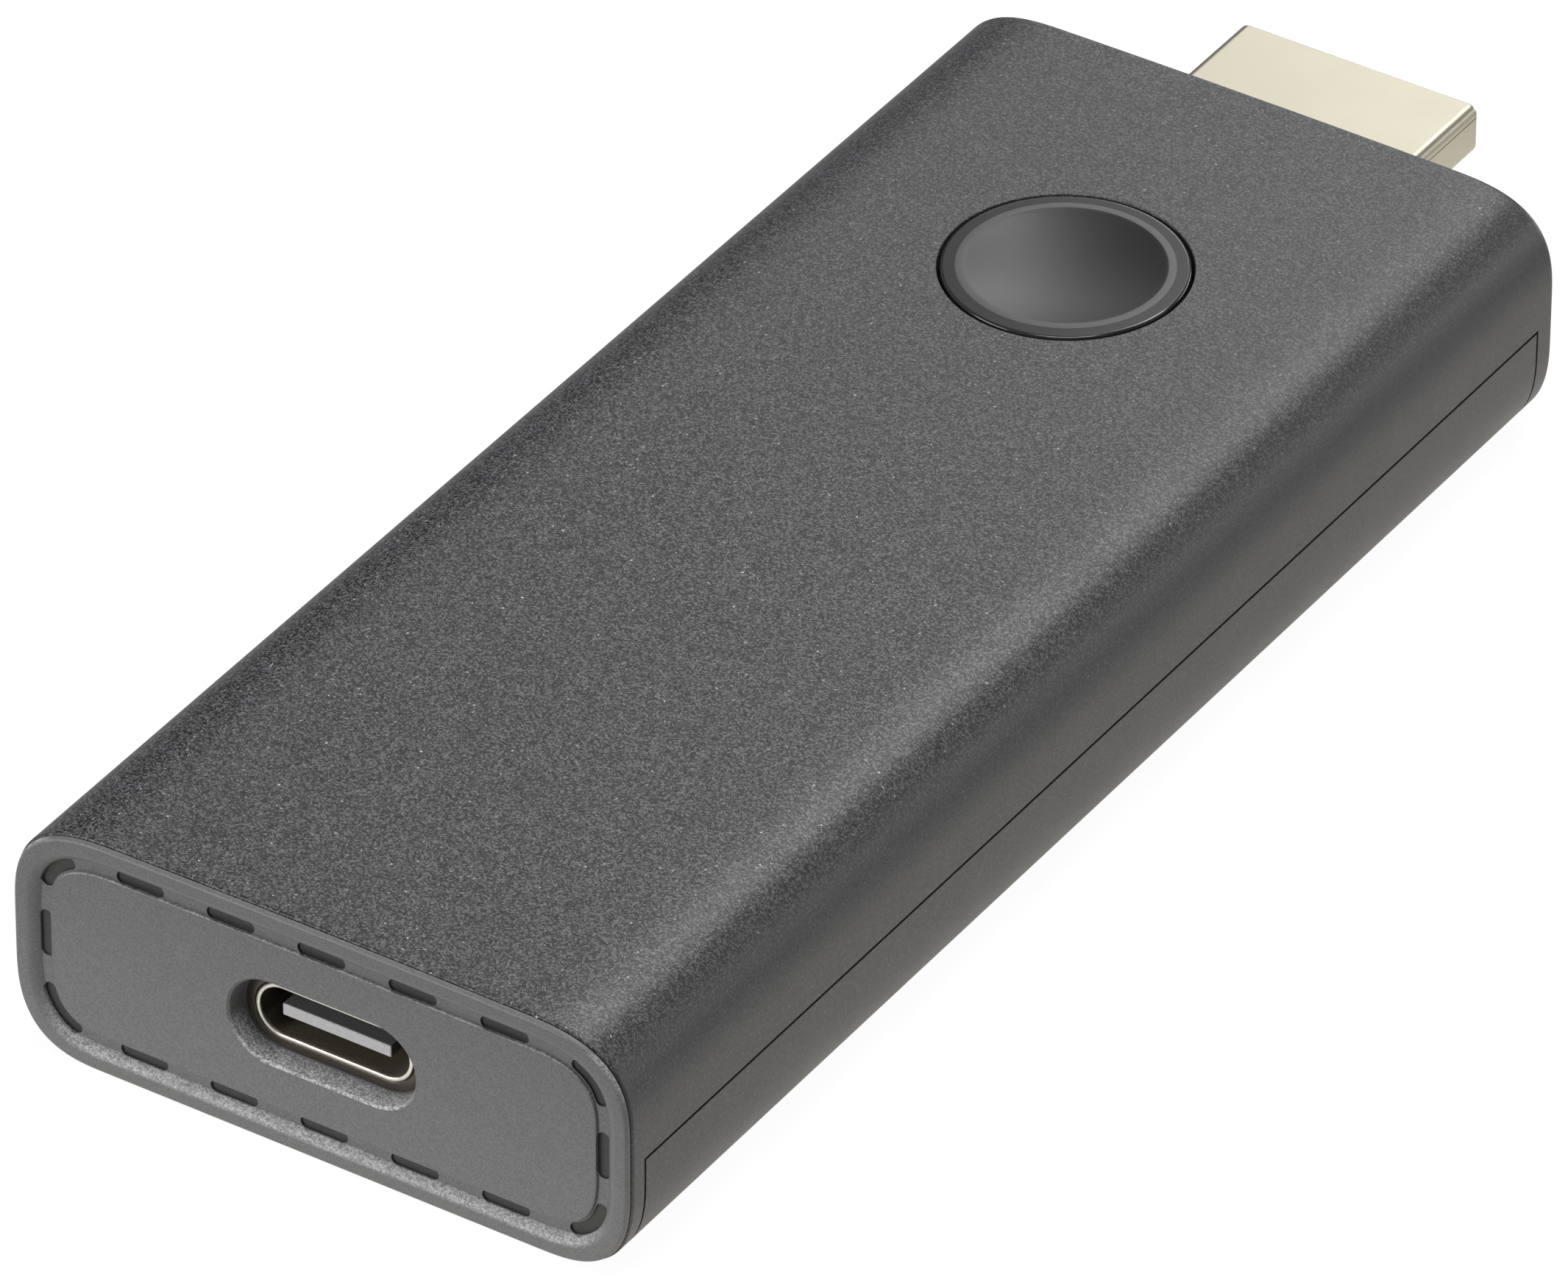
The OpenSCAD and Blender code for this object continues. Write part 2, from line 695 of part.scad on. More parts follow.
module tab(way) {
    x0 = tab_x - tab_w / 2;
    z = way > 0 ? tab_top : tab_bot;
    y = tab_y1 - tab_barb_len;
    translate([x0, 0, z]) rotate([90, 0, 90]) linear_extrude(tab_w)
        polygon([[plate_end - fit_gap, 0], [y, 0], [y, way * tab_barb], [tab_y1, 0],
            [tab_y1, -way * tab_t], [plate_end - fit_gap, -way * tab_t]]);
}

module end_cap() color(cap_grey) placed() {
    slope = (groove_in - rim_in) / groove_y;
    difference() {
        union() {
            difference() {
                union() {
                    loft(concat(rounded(0, cap_round, cap_inset, 1), [[cap_back, cap_inset]]));
                    prism(cap_round, plate_end) polygon(outline(ring_wall + fit_gap));
                }
                loft([[-over, rim_in - over * slope], [groove_y, groove_in]]);
            }
            prism(panel_y, plate_end) polygon(outline(panel_in));
            prism(groove_y, cap_depth) polygon(outline(core_in));
            both_sides() tab(1);
            both_sides() tab(-1);
        }
        prism(-over, cap_depth + over) vent_slots();
        prism(-over, usb_floor) translate([0, usb_z]) stadium(recess_w, recess_h);
        prism(usb_floor - over, cap_depth + over) translate([0, usb_z])
            stadium(usb_w + 2 * fit_gap, usb_h + 2 * fit_gap);
    }
}

// Button and switch
module button_cap() color(cap_grey) placed() {
    in_r = button_r - button_wall;
    top_in = dish_z - button_floor;
    difference() {
        union() {
            translate([0, button_y, 0]) rotate_extrude() polygon(concat(
                [[0, plunger_top], [button_post_r, plunger_top], [button_post_r, top_in],
                [in_r, top_in], [in_r, flange_bot], [button_flange_r, flange_bot],
                [button_flange_r, flange_top], [button_r, flange_top],
                [button_r, ring_z - button_shoulder], [button_ring_out, ring_z]],
                [for (k = [0 : dish_count]) let (s = 1 - k / dish_count)
                    [button_ring_in * s, dish_z + button_dish * s * s]]));
            both_sides() block(button_r, guide_x + ear_w / 2, button_y - ear_w / 2,
                button_y + ear_w / 2, flange_bot, flange_top);
        }
        both_sides() pillar(guide_x, button_y, guide_r + guide_gap, flange_bot - over,
            flange_top + over);
    }
}

module switch_body() color(black) placed() {
    difference() {
        slab(0, button_y, switch_w, switch_w, board_top, switch_top);
        pillar(0, button_y, plunger_flange_r + fit_gap, floor_z, switch_top + over);
        for (y = [-terminal_y, terminal_y]) {
            slab(0, button_y + y, switch_w + 2 * over, terminal_w + 2 * inlay_gap,
                board_top - over, board_top + terminal_t + inlay_gap);
        }
    }
}

module switch_cover() color(steel) placed() {
    difference() {
        slab(0, button_y, switch_w, switch_w, switch_top, cover_top);
        pillar(0, button_y, plunger_r + guide_gap, switch_top - over, cover_top + over);
    }
}

module switch_dome() color(steel) placed() {
    translate([0, button_y, 0]) rotate_extrude() polygon([[0, dome_top - dome_t], [0, dome_top],
        [plunger_r / 2, dome_top], [plunger_flange_r, floor_z + dome_t],
        [plunger_flange_r, floor_z], [plunger_flange_r - dome_t, floor_z],
        [plunger_r / 2, dome_top - dome_t]]);
}

module switch_plunger() color(steel) placed() {
    pillar(0, button_y, plunger_flange_r, dome_top, switch_top - move_gap);
    pillar(0, button_y, plunger_r, dome_top, plunger_top);
}

module switch_terminals() color(steel) placed() {
    for (side = [0, 1]) {
        for (y = [-terminal_y, terminal_y]) {
            mirror([side, 0, 0]) slab(switch_w / 2 + terminal_len / 4, button_y + y,
                terminal_len * 1.5, terminal_w, board_top, board_top + terminal_t);
        }
    }
}

// Plug
module plug_shell() color(gold) placed() {
    leg_y = plug_y0 + plug_leg_len / 2;
    difference() {
        prism(plug_y0, total_len) polygon(plug_outline(0));
        prism(plug_y0 - over, total_len + over) polygon(plug_outline(-plug_wall));
    }
    both_sides() block(plug_w / 2 - plug_wall, plug_w / 2, leg_y, leg_y + plug_leg_len,
        board_bot, plug_top - plug_side + plug_round);
}

module pin_places(count) {
    for (k = [0 : count - 1]) {
        translate([(k - (count - 1) / 2) * pin_pitch, 0, 0]) children();
    }
}

pin_top_z = slot_z + ins_slot_h / 2 - pin_proud;
pin_bot_z = slot_z - ins_slot_h / 2 + pin_proud - pin_t;
pin_end = total_len - ins_recess - pin_w;

module pin(y, z, grow) {
    w = pin_w / 2 + grow;
    block(-w, w, y - pin_t - grow, pin_end + grow, z - grow, z + pin_t + grow);
    block(-w, w, y - pin_t - grow, y + grow, board_top, z + pin_t + grow);
    block(-w, w, y - pin_foot, y, board_top, board_top + pin_t);
}

module plug_insulator() color(black) placed() {
    shrink = -plug_wall - inlay_gap;
    difference() {
        union() {
            prism(ins_y0 + ins_block / 2, total_len - ins_recess) polygon(plug_outline(shrink));
            slab(0, (ins_y0 + plug_y0 - inlay_gap) / 2, plug_w - 2 * plug_wall,
                ins_block - inlay_gap, board_top, plug_top);
        }
        slab(0, total_len - ins_recess - ins_slot_len / 2 + over / 2, ins_slot_w,
            ins_slot_len + over, slot_z - ins_slot_h / 2, slot_z + ins_slot_h / 2);
        pin_places(pin_top_count) pin(pin_top_y, pin_top_z, inlay_gap);
        pin_places(pin_bot_count) pin(pin_bot_y, pin_bot_z, inlay_gap);
    }
}

module plug_contacts() color(gold) placed() {
    pin_places(pin_top_count) pin(pin_top_y, pin_top_z, 0);
    pin_places(pin_bot_count) pin(pin_bot_y, pin_bot_z, 0);
}

// Socket
module socket_leg(grow) {
    x = usb_w / 2 - usb_wall / 2;
    for (share = usb_leg_shares) {
        both_sides() slab(x, usb_y + usb_len * share, usb_wall + 2 * grow,
            usb_leg_len + 2 * grow, board_bot - grow, usb_z);
    }
}

module socket_shell() color(steel) placed() {
    difference() {
        prism(usb_y, usb_y1) translate([0, usb_z]) stadium(usb_w, usb_h);
        prism(usb_y - over, usb_y1 + over) translate([0, usb_z])
            stadium(usb_w - 2 * usb_wall, usb_h - 2 * usb_wall);
    }
    socket_leg(0);
}

usb_pin_y0 = usb_y + tongue_y + usb_pin_w;

module usb_pins(grow) {
    w = usb_pin_w / 2 + grow;
    for (k = [0 : usb_count - 1]) {
        for (row = [0, 1]) {
            z = row > 0 ? usb_z + tongue_t / 2 - usb_pin_t / 2 : usb_z - tongue_t / 2 - usb_pin_t / 2;
            y = usb_y1 + usb_tail * (row + 1);
            translate([(k - (usb_count - 1) / 2) * usb_pitch, 0, 0]) {
                block(-w, w, usb_pin_y0 - grow, y + grow, z - grow, z + usb_pin_t + grow);
                block(-w, w, y - usb_pin_t, y, board_top, z + usb_pin_t);
                block(-w, w, y - usb_pin_t, y + usb_tail / 2, board_top, board_top + usb_pin_t);
            }
        }
    }
}

module socket_insulator() color(black) placed() {
    shrink = 2 * usb_wall + 2 * inlay_gap;
    difference() {
        union() {
            prism(usb_y1 - usb_base_len, usb_y1) translate([0, usb_z])
                stadium(usb_w - shrink, usb_h - shrink);
            slab(0, (usb_y + tongue_y + usb_y1) / 2, tongue_w, usb_len - tongue_y,
                usb_z - tongue_t / 2, usb_z + tongue_t / 2);
        }
        usb_pins(inlay_gap);
    }
}

module socket_contacts() color(gold) placed() {
    usb_pins(0);
}

// Board and screws
module main_board() color([0.05, 0.25, 0.15]) placed() {
    b = board_w / 2;
    c = board_cut;
    difference() {
        translate([0, 0, board_bot]) linear_extrude(board_t) polygon([[-b, board_y + c],
            [c - b, board_y], [b - c, board_y], [b, board_y + c], [b, board_y1 - c],
            [b - c, board_y1], [c - b, board_y1], [-b, board_y1 - c]]);
        at_bosses() pillar(0, 0, screw_r + fit_gap, board_bot - over, board_top + over);
        socket_leg(fit_gap);
        both_sides() block(plug_w / 2 - plug_wall - fit_gap, plug_w / 2 + fit_gap,
            plug_y0 + plug_leg_len / 2 - fit_gap, plug_y0 + plug_leg_len * 1.5 + fit_gap,
            board_bot - over, board_top + over);
    }
}

module board_screws() color(steel) placed() {
    at_bosses() difference() {
        union() {
            pillar(0, 0, screw_r, board_bot - screw_head_h / 2, board_bot + screw_len);
            pillar(0, 0, screw_head_r, board_bot - screw_head_h, board_bot);
        }
        slab(0, 0, screw_head_r, screw_cross_w, board_bot - screw_head_h - over,
            board_bot - screw_head_h / 2);
        slab(0, 0, screw_cross_w, screw_head_r, board_bot - screw_head_h - over,
            board_bot - screw_head_h / 2);
    }
}

// Chips
module chip(x, y, w, l, h) {
    slab(x, y, w - solder_h, l - solder_h, board_top, board_top + solder_h);
    slab(x, y, w, l, board_top + solder_h, board_top + h);
}

module processor() color(black) placed() {
    chip(0, chip_y, chip_w, chip_len, chip_h);
}

module memory_chips() color(black) placed() {
    both_sides() chip((memory_w + memory_gap) / 2, memory_y, memory_w, memory_len, memory_h);
}

module storage_chip() color(black) placed() {
    slab(0, chip_y, storage_w - solder_h, storage_len - solder_h, board_bot - solder_h, board_bot);
    slab(0, chip_y, storage_w, storage_len, board_bot - storage_h, board_bot - solder_h);
}

module radio_chip() color(black) placed() {
    chip(0, radio_y, radio_w * 0.75, radio_w * 0.75, radio_h);
}

module power_chip() color(black) placed() {
    chip(0, power_y, power_w, power_w, power_h);
}

// Shield and heat path
module shield_frame() color(steel) placed() {
    y = shield_y + shield_len / 2;
    difference() {
        slab(0, y, shield_w, shield_len, board_top, board_top + shield_h);
        slab(0, y, shield_w - 2 * shield_t, shield_len - 2 * shield_t, board_top - over,
            board_top + shield_h - shield_t);
        slab(0, y, shield_w - shield_h, shield_len - shield_h, board_top, board_top + shield_h + over);
    }
}

module shield_lid() color(steel) placed() {
    y = shield_y + shield_len / 2;
    g = fit_gap / 2;
    difference() {
        slab(0, y, shield_w + 2 * shield_t + 2 * g, shield_len + 2 * shield_t + 2 * g,
            board_top + shield_h / 2, lid_top);
        slab(0, y, shield_w + 2 * g, shield_len + 2 * g, board_top, board_top + shield_h);
    }
}

module processor_pad() color(pad_grey) placed() {
    slab(0, chip_y, pad_w, pad_len, board_top + chip_h, board_top + shield_h);
}

module lid_pad() color(pad_grey) placed() {
    slab(0, chip_y, pad_w, pad_len, lid_top, sink_z);
}

module heat_sink() color([0.7, 0.7, 0.72]) placed() {
    y = shield_y + shield_len / 2;
    step = (shield_w - fin_t) / (fin_count - 1);
    slab(0, y, shield_w, shield_len, sink_z, sink_z + sink_base);
    for (k = [0 : fin_count - 1]) {
        slab((k - (fin_count - 1) / 2) * step, y, fin_t, shield_len, sink_z,
            ceiling - crown - fin_gap);
    }
}

module lower_pad() color(pad_grey) placed() {
    slab(0, chip_y, pad_w, pad_len, wall + plate_t, board_bot - storage_h);
}

module lower_heat_plate() color([0.7, 0.7, 0.72]) placed() {
    slab(0, shield_y + shield_len / 2, shield_w, shield_len, wall, wall + plate_t);
}

// Small parts
module crystal() color(steel) placed() {
    slab(radio_w, radio_y, crystal_w, crystal_len, board_top, board_top + crystal_h);
}

module inductors() color([0.25, 0.25, 0.26]) placed() {
    both_sides() chip(power_w / 2 + coil_w * 0.75, power_y, coil_w, coil_w, coil_h);
}

// Places as shares of half the board and of a stretch of it
near_cap_shares = [[-0.42, 0.28], [-0.2, 0.28], [0.2, 0.28], [0.42, 0.28], [-0.55, 0.78],
    [0.55, 0.78]];
radio_cap_shares = [[-0.3, 0.474], [-0.45, 0.474]];
radio_res_shares = [[-0.36, 0.582], [-0.48, 0.582]];
pins_cap_shares = [[-0.55, 0.14], [0.55, 0.14]];
side_res_shares = [[-0.86, 0.17], [-0.86, 0.27], [-0.86, 0.37], [0.86, 0.17], [0.86, 0.27],
    [0.86, 0.37]];

module small_part(list, y0, y1, w, l, h) {
    for (p = list) {
        slab(p[0] * board_w / 2, y0 + (y1 - y0) * p[1], w, l, board_top, board_top + h);
    }
}

module capacitors() color([0.62, 0.52, 0.4]) placed() {
    small_part(near_cap_shares, power_y + coil_w / 2, shield_y - shield_t, cap_part_len, cap_part_w,
        cap_part_w);
    small_part(radio_cap_shares, shield_y1, button_y - switch_w / 2, cap_part_len, cap_part_w,
        cap_part_w);
    small_part(pins_cap_shares, button_y + switch_w / 2, pins_y0, cap_part_len, cap_part_w,
        cap_part_w);
}

module resistors() color(black) placed() {
    small_part(side_res_shares, shield_y, shield_y1, res_len, res_w, res_h);
    small_part(radio_res_shares, shield_y1, button_y - switch_w / 2, res_len, res_w, res_h);
}

module antennas() color(gold) placed() {
    y0 = radio_y - antenna_len / 2;
    z = board_top + antenna_h;
    foot = antenna_h / 4;
    both_sides() translate([boss_x, 0, 0]) rotate([90, 0, 90]) linear_extrude(antenna_t)
        polygon([[y0, board_top], [y0 + foot, board_top], [y0 + foot, z - foot],
            [y0 + 2.5 * foot, z - foot], [y0 + 2.5 * foot, board_top], [y0 + 3.5 * foot, board_top],
            [y0 + 3.5 * foot, z - foot], [y0 + antenna_len, z - foot], [y0 + antenna_len, z],
            [y0, z]]);
}

top_shell();
bottom_cover();
end_cap();
button_cap();
plug_shell();
plug_insulator();
plug_contacts();
socket_shell();
socket_insulator();
socket_contacts();
main_board();
board_screws();
processor();
memory_chips();
storage_chip();
radio_chip();
power_chip();
shield_frame();
shield_lid();
processor_pad();
lid_pad();
heat_sink();
lower_pad();
lower_heat_plate();
switch_body();
switch_cover();
switch_dome();
switch_plunger();
switch_terminals();
crystal();
inductors();
capacitors();
resistors();
antennas();
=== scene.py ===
"""Looks of a streaming stick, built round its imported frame.

Sizes are in millimetres and y is measured from the near end, as in the part's source.
Meshes are made in millimetres and moved to the row frame, in metres, when a piece is done.
"""

import json
import logging
import math
from collections.abc import Callable, Iterable, Sequence
from dataclasses import asdict, dataclass, fields
from enum import Enum

import bmesh
import bpy
from mathutils import Matrix, Vector

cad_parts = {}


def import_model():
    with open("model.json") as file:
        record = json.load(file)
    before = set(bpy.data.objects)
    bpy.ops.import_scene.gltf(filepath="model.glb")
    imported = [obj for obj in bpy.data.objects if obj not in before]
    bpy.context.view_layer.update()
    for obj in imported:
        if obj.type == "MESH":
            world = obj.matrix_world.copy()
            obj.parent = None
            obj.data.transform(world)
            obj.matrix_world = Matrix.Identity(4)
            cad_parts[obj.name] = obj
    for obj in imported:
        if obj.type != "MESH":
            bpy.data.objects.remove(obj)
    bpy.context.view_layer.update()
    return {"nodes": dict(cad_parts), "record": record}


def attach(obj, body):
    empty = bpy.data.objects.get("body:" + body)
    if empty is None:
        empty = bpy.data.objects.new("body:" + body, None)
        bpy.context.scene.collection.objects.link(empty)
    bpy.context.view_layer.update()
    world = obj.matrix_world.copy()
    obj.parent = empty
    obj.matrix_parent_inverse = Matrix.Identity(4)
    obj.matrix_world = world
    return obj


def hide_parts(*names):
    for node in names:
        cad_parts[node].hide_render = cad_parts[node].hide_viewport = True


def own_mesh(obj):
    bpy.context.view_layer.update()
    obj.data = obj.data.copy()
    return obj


Point2 = tuple[float, float]
Point3 = tuple[float, float, float]
Colour = tuple[float, float, float]
Solid = bpy.types.Object
# A value's range and what its two ends become.
Ramp = tuple[float, float, float, float]
# A Wire, or a plain value for a node's input.
Value = object

LOG = logging.getLogger("stick")
MM = 0.001
HALF_LENGTH = 46.5
QUARTER = math.pi / 2
WHITE = (1.0, 1.0, 1.0, 1.0)
SIDES = (1, -1)
MIDDLE = (0.0, 0.0)
# How far a cutter stands out of its solid, how far two faces are kept apart, and which corners are one.
OVER = 1.0
SLIVER = 0.004
DOUBLED = 0.0002
# A pin's broken edge as a share of its radius, and the steps across a block's rounded edge.
BROKEN_EDGE = 0.06
EDGE_STEPS = 3


class Joining(Enum):
    """How a tool solid meets the solid that it works on."""

    CUT = "DIFFERENCE"
    ADD = "UNION"
    KEEP = "INTERSECT"


class Body(Enum):
    """The bodies that pieces ride on."""

    STICK = "stick"
    BUTTON = "button"


class Texture(Enum):
    """The kinds of surface that a finish can have."""

    FLECK = "fleck"
    GRAIN = "grain"
    BRUSHED = "brushed"
    BOARD = "board"
    BUTTON = "button"
    CAP = "cap"
    EDGED = "edged"


# Sizes


@dataclass(frozen=True)
class OutlineSizes:
    """Cross-section of the body."""

    half_w: float = 17.35
    top_base: float = 13.35
    crown: float = 0.15
    top_w: float = 6.15
    top_h: float = 5.37
    top_curve: float = 2.94
    bot_w: float = 5.0
    bot_h: float = 5.57
    bot_curve: float = 2.77
    corner_steps: int = 28
    run_steps: int = 8

    def corner(self, side: int, top: bool, inset: float, share: float) -> Point2:
        """A point on a corner of the outline.

        Args:
            side: 1 for the right corner, -1 for the left one.
            top: whether it is an upper corner.
            inset: distance in from the outline.
            share: place along the corner, from the side at 0 to the top or bottom at 1.

        Returns:
            x and z of the point.
        """
        wide, high, curve = ((self.top_w, self.top_h, self.top_curve) if top
                             else (self.bot_w, self.bot_h, self.bot_curve))
        turn = QUARTER * share
        x = side * (self.half_w - wide + (wide - inset) * max(math.cos(turn), 0.0) ** (2 / curve))
        rise = (high - inset) * max(math.sin(turn), 0.0) ** (2 / curve)
        if top:
            return x, self.top_base - high + rise + self.crown * (1 - (x / self.half_w) ** 2)
        return x, high - rise


@dataclass(frozen=True)
class CasingSizes:
    """Lengths of the two shells and what joins them."""

    near: float = 0.35
    far: float = 83.15
    wall: float = 1.3
    ring_wall: float = 0.6
    cover_near: float = 1.31
    cover_far: float = 81.65
    near_round: float = 0.14
    far_round: float = 0.38
    seam_z: float = 6.73
    seam_gap: float = 0.16
    fit_gap: float = 0.1
    lip: float = 0.55
    lip_h: float = 0.7
    boss_x: float = 12.3
    boss_near: float = 13.0
    boss_far: float = 70.45
    boss_r: float = 1.9
    boss_hole_r: float = 0.83
    boss_hole_end: float = 8.47
    post_r: float = 1.1
    board_z: float = 4.17
    board_top: float = 5.17


@dataclass(frozen=True)
class HookSizes:
    """Snap hooks between the two shells."""

    shares: Point3 = (0.24, 0.5, 0.74)
    wide: float = 4.0
    thick: float = 0.8
    root: float = 2.0
    catch: float = 1.2
    tip: float = 0.9
    barb: float = 0.4
    post_shares: Point2 = (0.3, 0.68)


@dataclass(frozen=True)
class CapSizes:
    """The vented end cap."""

    inset: float = 0.1
    edge_round: float = 0.2
    back: float = 0.28
    plate_inset: float = 0.7
    plate_end: float = 1.21
    rim: float = 0.75
    rim_fall: float = 1.9
    rim_steps: int = 10
    groove: float = 1.38
    groove_y: float = 0.45
    panel: float = 1.98
    panel_y: float = 0.3
    panel_round: float = 0.1
    panel_steps: int = 4
    core: float = 2.3
    depth: float = 2.45
    slot_in: float = 1.68
    slot_deep: float = 0.1
    slot_w: float = 0.68
    slot_len: float = 2.7
    corner_in: float = 1.59
    corner_steps: int = 20
    slot_pitch: float = 5.108
    slot_count: int = 5
    end_steps: int = 8
    top_share: Point2 = (0.235, 0.625)
    bot_share: Point2 = (0.255, 0.735)
    recess_w: float = 10.5
    recess_h: float = 4.65
    recess_y: float = 1.55
    recess_round: float = 0.12
    recess_steps: int = 5
    hole_gap: float = 0.2
    tab_x: float = 7.662
    tab_w: float = 2.1
    tab_t: float = 0.8
    tab_root: float = 1.11
    tab_end: float = 6.45
    tab_barb: float = 0.35
    tab_barb_len: float = 0.9
    tab_top: float = 11.95
    tab_bot: float = 1.4


@dataclass(frozen=True)
class SocketSizes:
    """The power socket."""

    z: float = 6.77
    wide: float = 8.94
    high: float = 3.2
    near: float = 1.37
    far: float = 8.47
    wall: float = 0.3
    floor: float = 1.5
    floor_back: float = 1.545
    collar_in: float = 0.06
    collar_out: float = 0.58
    collar_proud: float = 0.07
    collar_foot: float = 0.01
    round_steps: int = 10
    legs: Point2 = (1.6, 5.2)
    leg_len: float = 1.0
    base_slack: float = 0.64
    base_near: float = 6.37
    tongue_w: float = 6.1
    tongue_t: float = 0.66
    tongue_near: float = 1.6
    tongue_edge: float = 0.06
    contact_near: float = 2.795
    contact_slope: float = 0.08
    contact_w: float = 0.25
    contact_t: float = 0.1
    contact_gap: float = 0.02
    pitch: float = 0.5
    count: int = 12
    tail: float = 0.5


@dataclass(frozen=True)
class PlugSizes:
    """The video plug."""

    top: float = 9.94
    high: float = 4.45
    wide: float = 13.9
    lean: float = 1.75
    side: float = 2.49
    corner: float = 0.5
    low_corner: float = 0.45
    least_corner: float = 0.02
    wall: float = 0.3
    near: float = 76.0
    far: float = 93.0
    rim_round: float = 0.1
    rim_step: float = 0.06
    roll: float = 0.17
    leg_near: float = 0.6
    leg_far: float = 1.8
    fold_near: float = 3.0
    fold_drop: float = 0.62
    fold_w: float = 0.07
    fold_depth: float = 0.045


@dataclass(frozen=True)
class ButtonSizes:
    """The push button."""

    y: float = 65.13
    hole_r: float = 6.35
    hole_round: float = 0.1
    hole_floor: float = 11.2
    hole_steps: int = 5
    body_top: float = 13.5
    outer_r: float = 6.18
    ring_out: float = 5.44
    ring_in: float = 5.06
    ring_z: float = 13.6
    ring_edge: tuple[Point2, ...] = ((0.07, -0.024), (0.01, -0.01), (-0.04, 0.0))
    dish_gap: float = 0.02
    slope_drop: float = 0.07
    edge_round: float = 0.13
    edge_tilt: float = math.radians(6)
    edge_steps: int = 7
    dish: float = 0.43
    floor: float = 0.9
    wall: float = 1.0
    flange_r: float = 7.0
    flange_top: float = 11.9
    flange_bot: float = 11.1
    post_r: float = 1.5
    post_bot: float = 9.57
    guide_x: float = 8.7
    guide_r: float = 0.8
    guide_gap: float = 0.06
    guide_bot: float = 10.5
    ear_w: float = 3.2
    turns: int = 160
    dish_steps: int = 28


@dataclass(frozen=True)
class DomeSizes:
    """The snap dome of the switch under the button."""

    y: float = 65.13
    foot_z: float = 6.07
    high: float = 0.5
    thick: float = 0.1
    foot_r: float = 2.2
    travel: float = 0.3
    steps: int = 8
    turns: int = 64


# Node trees


def operation(how: str, turned: bool = False) -> Callable[..., "Wire"]:
    """Makes an arithmetic method of a wire.

    Args:
        how: the Math node's operation.
        turned: whether the wire is the second operand.

    Returns:
        The method.
    """
    def method(wire: "Wire", *other: Value) -> "Wire":
        """Adds the Math node."""
        return wire.graph.math(how, *((*other, wire) if turned else (wire, *other)))

    return method


class Wire:
    """An output in a node tree. Arithmetic on it adds Math nodes."""

    __add__, __radd__ = operation("ADD"), operation("ADD", True)
    __sub__, __rsub__ = operation("SUBTRACT"), operation("SUBTRACT", True)
    __mul__, __rmul__ = operation("MULTIPLY"), operation("MULTIPLY", True)
    __truediv__, __rtruediv__ = operation("DIVIDE"), operation("DIVIDE", True)
    __mod__, __pow__, __abs__ = operation("MODULO"), operation("POWER"), operation("ABSOLUTE")
    __lt__, __gt__ = operation("LESS_THAN"), operation("GREATER_THAN")

    def __init__(self, graph: "Graph", socket: bpy.types.NodeSocket) -> None:
        """Keeps the graph and the output."""
        self.graph, self.socket = graph, socket


class Graph:
    """Adds nodes to a tree and wires them."""

    def __init__(self, tree: bpy.types.NodeTree) -> None:
        """Works on the given tree."""
        self.tree = tree

    def add(self, kind: str, **settings: object) -> bpy.types.Node:
        """Adds a node.

        Args:
            kind: Blender's name of the node type.
            settings: properties of the node, set in order.

        Returns:
            The new node.
        """
        node = self.tree.nodes.new(kind)
        for name, value in settings.items():
            setattr(node, name, value)
        return node

    def feed(self, socket: bpy.types.NodeSocket, value: Value) -> None:
        """Links an input to a wire, or sets its own value.

        Args:
            socket: the input to fill.
            value: a wire or a plain value.
        """
        if isinstance(value, Wire):
            self.tree.links.new(value.socket, socket)
        else:
            socket.default_value = value

    def put(self, kind: str, values: dict[str, Value], **settings: object) -> dict[str, Wire]:
        """Adds a node and fills its inputs by name.

        Args:
            kind: Blender's name of the node type.
            values: input name to a wire or value.
            settings: properties of the node.

        Returns:
            The node's outputs by name.
        """
        node = self.add(kind, **settings)
        for name, value in values.items():
            self.feed(next(s for s in node.inputs if s.name == name and s.enabled), value)
        return {s.name: Wire(self, s) for s in node.outputs if s.enabled}

    def get(self, kind: str, values: dict[str, Value] | None = None, **settings: object) -> Wire:
        """The first output of a node with inputs filled by name."""
        return next(iter(self.put(kind, values or {}, **settings).values()))

    def run(self, kind: str, *values: Value, **settings: object) -> Wire:
        """The first output of a node with inputs filled in their order.

        Args:
            kind: Blender's name of the node type.
            values: a wire or value for each input.
            settings: properties of the node.

        Returns:
            The output.
        """
        node = self.add(kind, **settings)
        for socket, value in zip(node.inputs, values):
            self.feed(socket, value)
        return Wire(self, node.outputs[0])

    def math(self, how: str, *values: Value) -> Wire:
        """The result of a Math node."""
        return self.run("ShaderNodeMath", *values, operation=how)

    def ramp(self, value: Wire, low: float, high: float, to_low: float = 0.0, to_high: float = 1.0) -> Wire:
        """Maps a value smoothly from one range, low to high, to another."""
        return self.run("ShaderNodeMapRange", value, low, high, to_low, to_high,
                        interpolation_type="SMOOTHSTEP")

    def split(self, vector: Wire) -> list[Wire]:
        """The X, Y and Z of a vector."""
        return list(self.put("ShaderNodeSeparateXYZ", {"Vector": vector}).values())

    def scaled(self, vector: Wire, factor: Value) -> Wire:
        """A vector or colour times a factor."""
        return self.get("ShaderNodeVectorMath", {"Vector": vector, "Scale": factor}, operation="SCALE")


